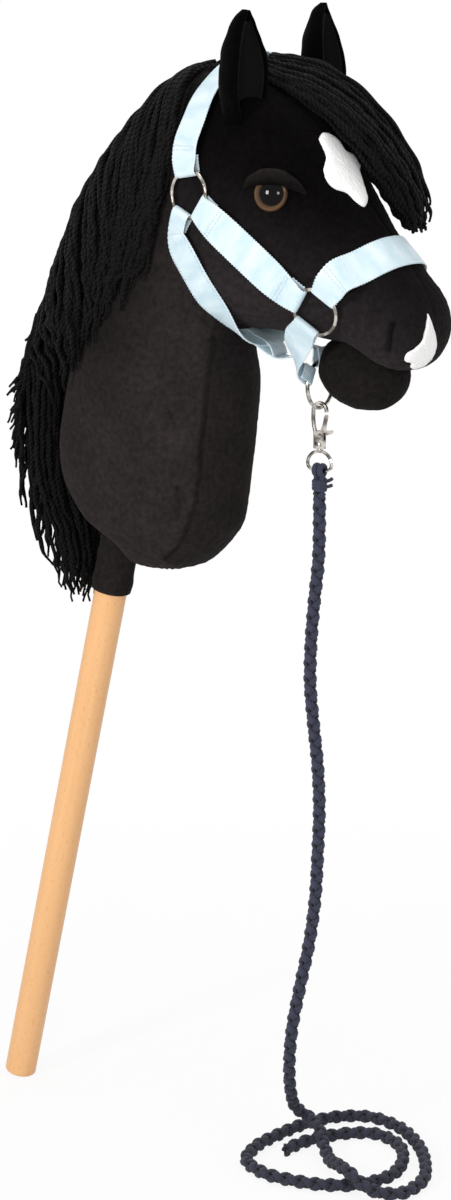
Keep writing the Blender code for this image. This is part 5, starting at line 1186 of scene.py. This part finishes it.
def stitches(strap_name, lines):
    """Stitches along straight lines on a strap's outer side; a line runs between two places, each the run
    along the strap in metres and the share of the half width across it."""
    middle, across, normal, half, run = straps[strap_name]

    def on_strap(run_at, share):
        """Points on the strap's outer face, and its normals there."""
        at, side, up = (np.stack([np.interp(run_at, run, part[:, k]) for k in range(3)], -1)
                        for part in (middle, across, normal))
        aside = share * np.interp(run_at, run, half[:, 0])
        return at + aside[:, None] * side + (WEBBING_THICKNESS / 2 + 0.0001) * up, up

    grids, ends = [], []
    for first, last in np.array(lines):
        reach = math.hypot(last[0] - first[0], (last[1] - first[1]) * WEBBING_WIDTH / 2)
        for share in np.arange(0.5, reach / STITCH_PITCH) * STITCH_PITCH / reach:
            reached = share + np.linspace(-0.5, 0.5, len(STITCH_RADII)) * STITCH / reach
            points, normals = on_strap(*(first + (last - first) * reached[:, None]).T)
            grids.append(tube(points, normals, STITCH_RADII, STITCH_RADII, 6)[0])
            ends.append(points[[0, -1]])
    piece(f"stitches_{strap_name}", grids, thread_finish, poles=ends)


for word in ("cheek_strap_right", "cheek_strap_left", "crown_strap", "noseband"):
    length = straps[word][4][-1]
    rows_at = [at + shift for at in (0.0350, length - 0.0350) for shift in (0.0, 0.0026)]
    stitches(word, [((at, -0.92), (at, 0.92)) for at in rows_at])
length = straps["throat_strap"][4][-1]
throat_lines = [((at, -0.92), (at, 0.92)) for at in (0.0345, length - 0.0345)]
edge_places = np.linspace(0.037, length - 0.037, 31)
throat_lines += [((start, edge), (end, edge)) for start, end in zip(edge_places, edge_places[1:])
                 for edge in (-0.86, 0.86)]
stitches("throat_strap", throat_lines)
for word, _ in SIDES:
    stitches(f"chin_strap_{word}", [((0.0310, -0.85), (0.0430, 0.85))])

# Mane
# Two-ply acrylic yarn, 4 mm thick, laid over the crest in two layers and machine sewn along it. The cut
# strands fall to both sides and down the back, kinked from the skein, with uneven ends.
YARN_RADIUS = 0.0018
YARN_STEPS = 54
# Black acrylic yarn: matt and fuzzy, its two plies a turn every 3 mm, with painted shade in the hollows
# between them.
yarn, tree = new_finish("black_two_ply_acrylic_yarn")
where = add_node(tree, "TexCoord").outputs["Object"]
cloth = add_node(tree, "UVMap", uv_map="cloth")
lean = add_node(tree, "Mapping", {"Vector": cloth, "Rotation": (0, 0, math.radians(38))})
ply = add_node(tree, "TexWave", {
    "Vector": lean, "Scale": WAVE_LENGTH / 0.0030, "Distortion": 0.3}).outputs["Fac"]
fibre = add_node(tree, "TexNoise", {"Vector": where, "Scale": 800.0, "Detail": 3.0})
rough = add_node(tree, "Math", {0: ply, 1: fibre}, operation="ADD")
shade = add_node(tree, "Mix", {0: ply, 6: colour("#010101"), 7: colour("#1b1818")}, data_type="RGBA")
shade = add_node(tree, "Mix", {0: fibre, 6: shade, 7: colour("#050404")}, data_type="RGBA")
lift = add_node(tree, "Bump", {"Height": rough, "Strength": 0.8, "Distance": 0.0008})
shader = add_node(tree, "BsdfPrincipled", {
    "Base Color": shade, "Roughness": 0.75, "Normal": lift, "Specular IOR Level": 0.09,
    "Sheen Weight": 0.035, "Sheen Roughness": 0.4, "Sheen Tint": colour("#c9c0bd")})
add_node(tree, "OutputMaterial", {"Surface": shader})


def drawn(low, high, count):
    """A column of random numbers between two, one for each strand."""
    return chance.uniform(low, high, (count, 1))


def yarn_strands(name, paths, out, stands_for):
    """Strands of yarn as one piece: kinked by small waves that grow towards the cut end, six sided."""
    count, steps = paths.shape[:2]
    out = np.broadcast_to(out, paths.shape)
    along = unit(np.gradient(paths, axis=1))
    out = square_to(out, along)
    side = np.cross(along, out)
    t = np.linspace(0, 1, steps)
    length = np.linalg.norm(np.diff(paths, axis=1), axis=2).sum(1)[:, None]
    kinks = length / chance.uniform(0.013, 0.030, (2, count, 1)) * 2 * np.pi * t
    kinks = kinks + chance.uniform(0, 6.3, (2, count, 1))
    size = chance.uniform(0.0005, 0.0016, (2, count, 1)) * (0.3 + t**1.5)
    slow = length / drawn(0.05, 0.09, count) * 2 * np.pi * t + drawn(0, 6.3, count)
    sway = drawn(0.0006, 0.0034, count) * t * np.sin(slow)
    aside = size[0] * np.sin(kinks[0]) + sway
    raised = 0.7 * size[1] * np.cos(kinks[1])
    paths = paths + aside[..., None] * side + raised[..., None] * out
    thick = YARN_RADIUS * drawn(0.85, 1.12, count) * np.clip((1 - t) * 14, 0.5, 1)
    grid, uv = tube(paths, out, thick, thick, 6)
    piece(name, grid, yarn, stands_for=stands_for, poles=paths[:, [0, -1]], uv=uv)


# Place on the crest, by the neck's sections, and how far the yarn stands out there.
CREST_DEPTHS = np.array((
    (8, 0.034), (10, 0.036), (12, 0.031), (14, 0.025), (15, 0.021), (16, 0.016), (17, 0.009),
))
THIN_DEPTH = 0.0065


def crest_depth(index, turn):
    """How far the yarn stands out: deepest on the crest, thin over the cheek and at the poll."""
    crest = smooth_table(CREST_DEPTHS[:, 0], CREST_DEPTHS[:, 1:], np.ravel(index)).reshape(np.shape(index))
    return THIN_DEPTH + (crest - THIN_DEPTH) * soft_step(np.clip(1 - turn / 76, 0, 1))


# Locks of one side, from the poll back: place on the crest and of the tip on the neck's sections, how far
# round from the crest the tip lies, and how soon the lock falls to the side.
LOCKS = np.array((
    (16.75, 11.60, 93, 3.4), (16.50, 11.10, 91, 3.2), (16.20, 11.30, 87, 2.9), (15.70, 10.30, 84, 2.6),
    (15.10, 10.60, 79, 2.4), (14.50, 9.70, 73, 2.2), (13.90, 9.90, 66, 2.0), (13.20, 9.20, 58, 1.8),
    (12.50, 9.40, 49, 1.6), (11.80, 8.90, 40, 1.4), (11.00, 8.70, 28, 1.2), (10.20, 8.40, 15, 1.0),
    (9.60, 8.20, 3, 1.0),
))
STRANDS = 190
BUNCHES_TO_A_LOCK = 2.6
BUNCHES = 40
t = np.linspace(0, 1, YARN_STEPS)
for word, side in SIDES:
    place = np.sort(chance.uniform(0, len(LOCKS) - 1, STRANDS))
    lock = smooth_table(np.arange(len(LOCKS)), LOCKS, place)
    bunch = np.floor(place * BUNCHES_TO_A_LOCK).astype(int)
    shift = chance.uniform(-1, 1, (BUNCHES, 3))[bunch]
    start = lock[:, 0:1] + drawn(-0.15, 0.15, STRANDS)
    tip = lock[:, 1:2] + 0.45 * shift[:, 0:1] + drawn(-0.35, 1.1, STRANDS)
    tip_turn = lock[:, 2:3] * (0.97 + 0.04 * shift[:, 1:2]) * drawn(0.95, 1.02, STRANDS)
    tip_turn = np.maximum(tip_turn, 2)
    fall = lock[:, 3:4] * (1 + 0.12 * shift[:, 2:3]) * drawn(0.88, 1.08, STRANDS)
    index = start + (tip - start) * t
    turn = 2.5 + (tip_turn - 2.5) * (1 - (1 - t) ** fall)
    layer = drawn(0.12, 1.0, STRANDS) ** 0.6
    thinning = np.clip(0.5 + 2.2 * (1 - t), 0, 1)
    depth = 0.0020 + np.maximum(crest_depth(index, turn) * layer * thinning - 0.0015, 0.0012)
    round_crest = side * np.radians(turn)
    paths = on_neck(index, round_crest, depth)
    out = unit(paths - on_neck(index, round_crest))
    yarn_strands(f"mane_yarn_{word}", paths, out, (f"mane_{word}",))

# The bed of short yarn that the strands are sewn through, along the crest.
bed_index = np.linspace(9.6, 16.5, 70)[:, None]
bed_turn = np.linspace(-66, 66, 44)
bed_height = 0.5 * crest_depth(bed_index, np.abs(bed_turn)) * np.sqrt(np.clip(1 - (bed_turn / 67) ** 2, 0, 1))
bed = on_neck(bed_index, np.radians(bed_turn), bed_height)
bed_foot = on_neck(bed_index, np.radians(bed_turn), -0.002)
bed = np.concatenate([bed, bed_foot[:, ::-1]], axis=1)
piece("mane_yarn_bed", bed, yarn, poles=end_middles(bed))

# The hanging back in level rows: height, back edge, front edge, half width.
BACK_LOCKS = np.array((
    (0.6650, 0.0720, 0.1030, 0.026), (0.6400, 0.0520, 0.0950, 0.036), (0.6100, 0.0390, 0.0860, 0.040),
    (0.5800, 0.0290, 0.0780, 0.041), (0.5500, 0.0225, 0.0740, 0.040), (0.5200, 0.0210, 0.0720, 0.038),
    (0.4900, 0.0220, 0.0750, 0.034), (0.4600, 0.0290, 0.0840, 0.029), (0.4330, 0.0440, 0.0845, 0.022),
    (0.4090, 0.0620, 0.0800, 0.013),
))
# A strand follows the outline down and hangs straight from there; where it hangs, from the outermost one
# inwards, sets how low it ends.
BACK_ENDS = np.array((
    (0.0215, 0.508), (0.0235, 0.485), (0.0290, 0.462), (0.0440, 0.436), (0.0620, 0.412), (0.0850, 0.404),
))
BACK_STRANDS = 210
outermost, innermost = BACK_ENDS[[0, -1], 0]
hang = np.sort(chance.uniform(outermost, innermost, BACK_STRANDS))[:, None]
aside = drawn(-0.94, 0.94, BACK_STRANDS)
low = np.interp(hang, *BACK_ENDS.T) + drawn(-0.004, 0.030, BACK_STRANDS)
low = low + (drawn(0, 1, BACK_STRANDS) < 0.3) * 0.055
high = drawn(0.615, 0.664, BACK_STRANDS)
# Every fourth strand is a short one that ends on the outside of the fall.
short = (np.arange(BACK_STRANDS) % 4 == 0)[:, None]
hang = np.where(short, outermost, hang)
low = np.where(short, drawn(0.485, 0.605, BACK_STRANDS), low)
level = high + (low - high) * t
row = smooth_table(BACK_LOCKS[::-1, 0], BACK_LOCKS[::-1, 1:], level.ravel()).reshape(*level.shape, 3)
back_edge, front_edge, half_width = np.moveaxis(row, -1, 0)
bulge = (front_edge - back_edge) / 2 * np.sqrt(1 - aside**2)
centre = (front_edge + back_edge) / 2
inset = drawn(0.0012, 0.0060, BACK_STRANDS)
x = np.clip(hang, centre - bulge + inset, centre + bulge - 0.0010)
free = np.clip((t - 0.72) / 0.28, 0, 1) ** 2
flare = np.where(short, drawn(0.001, 0.009, BACK_STRANDS), drawn(0, 0.005, BACK_STRANDS)) * free
y = half_width * aside * 0.95 + np.sign(aside) * flare * 0.6
paths = np.stack([x - flare, y, level], -1)
paths[:, 1:-1] = (paths[:, :-2] + 2 * paths[:, 1:-1] + paths[:, 2:]) / 4
out = unit(np.stack([-np.sqrt(1 - aside**2) + 0 * t, aside + 0 * t, 0 * level], -1))
yarn_strands("mane_yarn_back", paths, out, ("mane_back",))

# Forelock
# The same yarn, sewn down at the poll between the ears and combed forward, over the left side of the
# forehead.
FORELOCK_STRANDS = 130
# In rows down the head: along, across and sideways place of its middle, half width and half thickness.
FORELOCK = np.array((
    (-0.0400, 0.0765, 0.0000, 0.0100, 0.0050), (-0.0290, 0.0800, 0.0040, 0.0150, 0.0080),
    (-0.0080, 0.0850, 0.0130, 0.0200, 0.0130), (0.0200, 0.0835, 0.0225, 0.0225, 0.0165),
    (0.0490, 0.0755, 0.0310, 0.0225, 0.0175), (0.0760, 0.0650, 0.0375, 0.0195, 0.0160),
    (0.0970, 0.0530, 0.0420, 0.0140, 0.0120), (0.1110, 0.0450, 0.0440, 0.0080, 0.0070),
))
reach = drawn(4.6, 7.0, FORELOCK_STRANDS)
row = smooth_table(np.arange(len(FORELOCK)), FORELOCK, (t * reach).ravel())
row = row.reshape(FORELOCK_STRANDS, YARN_STEPS, FORELOCK.shape[1])
lies_along, lies_across, lies_aside, half_width, half_depth = np.moveaxis(row, -1, 0)
middle = on_head(lies_along, lies_across, lies_aside)
along = unit(np.gradient(middle, axis=1))
out = square_to(HEAD_ACROSS + lies_aside[..., None] * 14 * SIDEWAYS, along)
sideways = np.cross(along, out)
angle = drawn(0, 2 * np.pi, FORELOCK_STRANDS)
share = np.sqrt(drawn(0.03, 0.93, FORELOCK_STRANDS))
over = half_width * share * np.cos(angle) * np.where(np.cos(angle) > 0, 1.55, 1.0)
raised = half_depth * share * np.sin(angle) - 0.25 * np.maximum(over, 0)
paths = lifted(middle + over[..., None] * sideways + raised[..., None] * out, 0.0022)
yarn_strands("forelock_yarn", paths, out, ("forelock",))

# Stick
# A 25 mm round beech dowel, sanded and lightly lacquered, its ends' edges eased. It runs up into the
# neck's filling.
STICK_LENGTH = 0.6
stick_axis = np.array((math.sin(STICK_LEAN), 0.0, math.cos(STICK_LEAN)))
# Lacquered beech: warm and pale with a low gloss, straight grain lines about 1 to 4 mm apart along the
# stick, and the short brown rays, a few millimetres long, that beech shows.
beech, tree = new_finish("lacquered_beech")
where = add_node(tree, "TexCoord").outputs["Object"]
upright = add_node(tree, "Mapping", {"Vector": where, "Rotation": (0, -STICK_LEAN, 0)})
long_grain = add_node(tree, "Mapping", {"Vector": upright, "Scale": (1, 1, 0.05)})
rays_at = add_node(tree, "Mapping", {"Vector": upright, "Scale": (1, 1, 0.28)})
growth = add_node(tree, "TexNoise", {"Vector": long_grain, "Scale": 260.0, "Detail": 4.0})
flecks = add_node(tree, "TexNoise", {"Vector": rays_at, "Scale": 900.0, "Detail": 1.0})
broad = add_node(tree, "TexNoise", {"Vector": long_grain, "Scale": 50.0, "Detail": 2.0})
wood = add_node(tree, "Mix", {0: growth, 6: colour("#dc9f66"), 7: colour("#eebc85")}, data_type="RGBA")
wood = add_node(tree, "Mix", {0: broad, 6: wood, 7: colour("#e7b27a")}, data_type="RGBA")
fleck = add_node(tree, "MapRange", {0: flecks, 1: 0.62, 2: 0.72, 3: 0.0, 4: 0.45})
wood = add_node(tree, "Mix", {0: fleck, 6: wood, 7: colour("#c48a50")}, data_type="RGBA")
lift = add_node(tree, "Bump", {"Height": growth, "Strength": 0.15, "Distance": 0.0002})
shader = add_node(tree, "BsdfPrincipled", {
    "Base Color": wood, "Roughness": 0.45, "Normal": lift, "Coat Weight": 0.15, "Coat Roughness": 0.3})
add_node(tree, "OutputMaterial", {"Surface": shader})

eased_edge = np.array(((0.0113, 0.0), (0.0121, 0.0004), (STICK_RADIUS, 0.0012)))
far_edge = eased_edge[::-1] * (1, -1) + (0, STICK_LENGTH)
shank = np.stack([np.full(40, STICK_RADIUS), np.linspace(0.002, STICK_LENGTH - 0.002, 40)], -1)
grid = turned(np.concatenate([eased_edge, shank, far_edge]), np.zeros(3), stick_axis, 64)
piece("beech_stick", grid, beech, stands_for=("stick",),
      poles=(np.zeros(3), stick_axis * STICK_LENGTH))

# Sleeve
# The neck's plush drawn down round the stick, gathered above and hemmed at its lower end. Tacks under
# it hold the stick.
SLEEVE_START, SLEEVE_LENGTH, SLEEVE_BORE = 0.428, 0.058, 0.0129
level = np.linspace(0, 1, 60)
swell = 0.0150 + 0.0009 * np.exp(-(((level - 0.12) / 0.09) ** 2)) + 0.0012 * np.clip(level - 0.8, 0, 1) / 0.2
outer = np.stack([swell, SLEEVE_START + level * SLEEVE_LENGTH], -1)
inner = np.stack([np.full(60, SLEEVE_BORE), SLEEVE_START + level[::-1] * SLEEVE_LENGTH], -1)
grid = turned(np.concatenate([outer, inner]), np.zeros(3), stick_axis, 96)
sleeve = piece("plush_sleeve", grid, neck_plush, stands_for=("stick_sleeve",))
# Painted shade: the sleeve's plush is darkened a little.
toned(sleeve, 0.75)
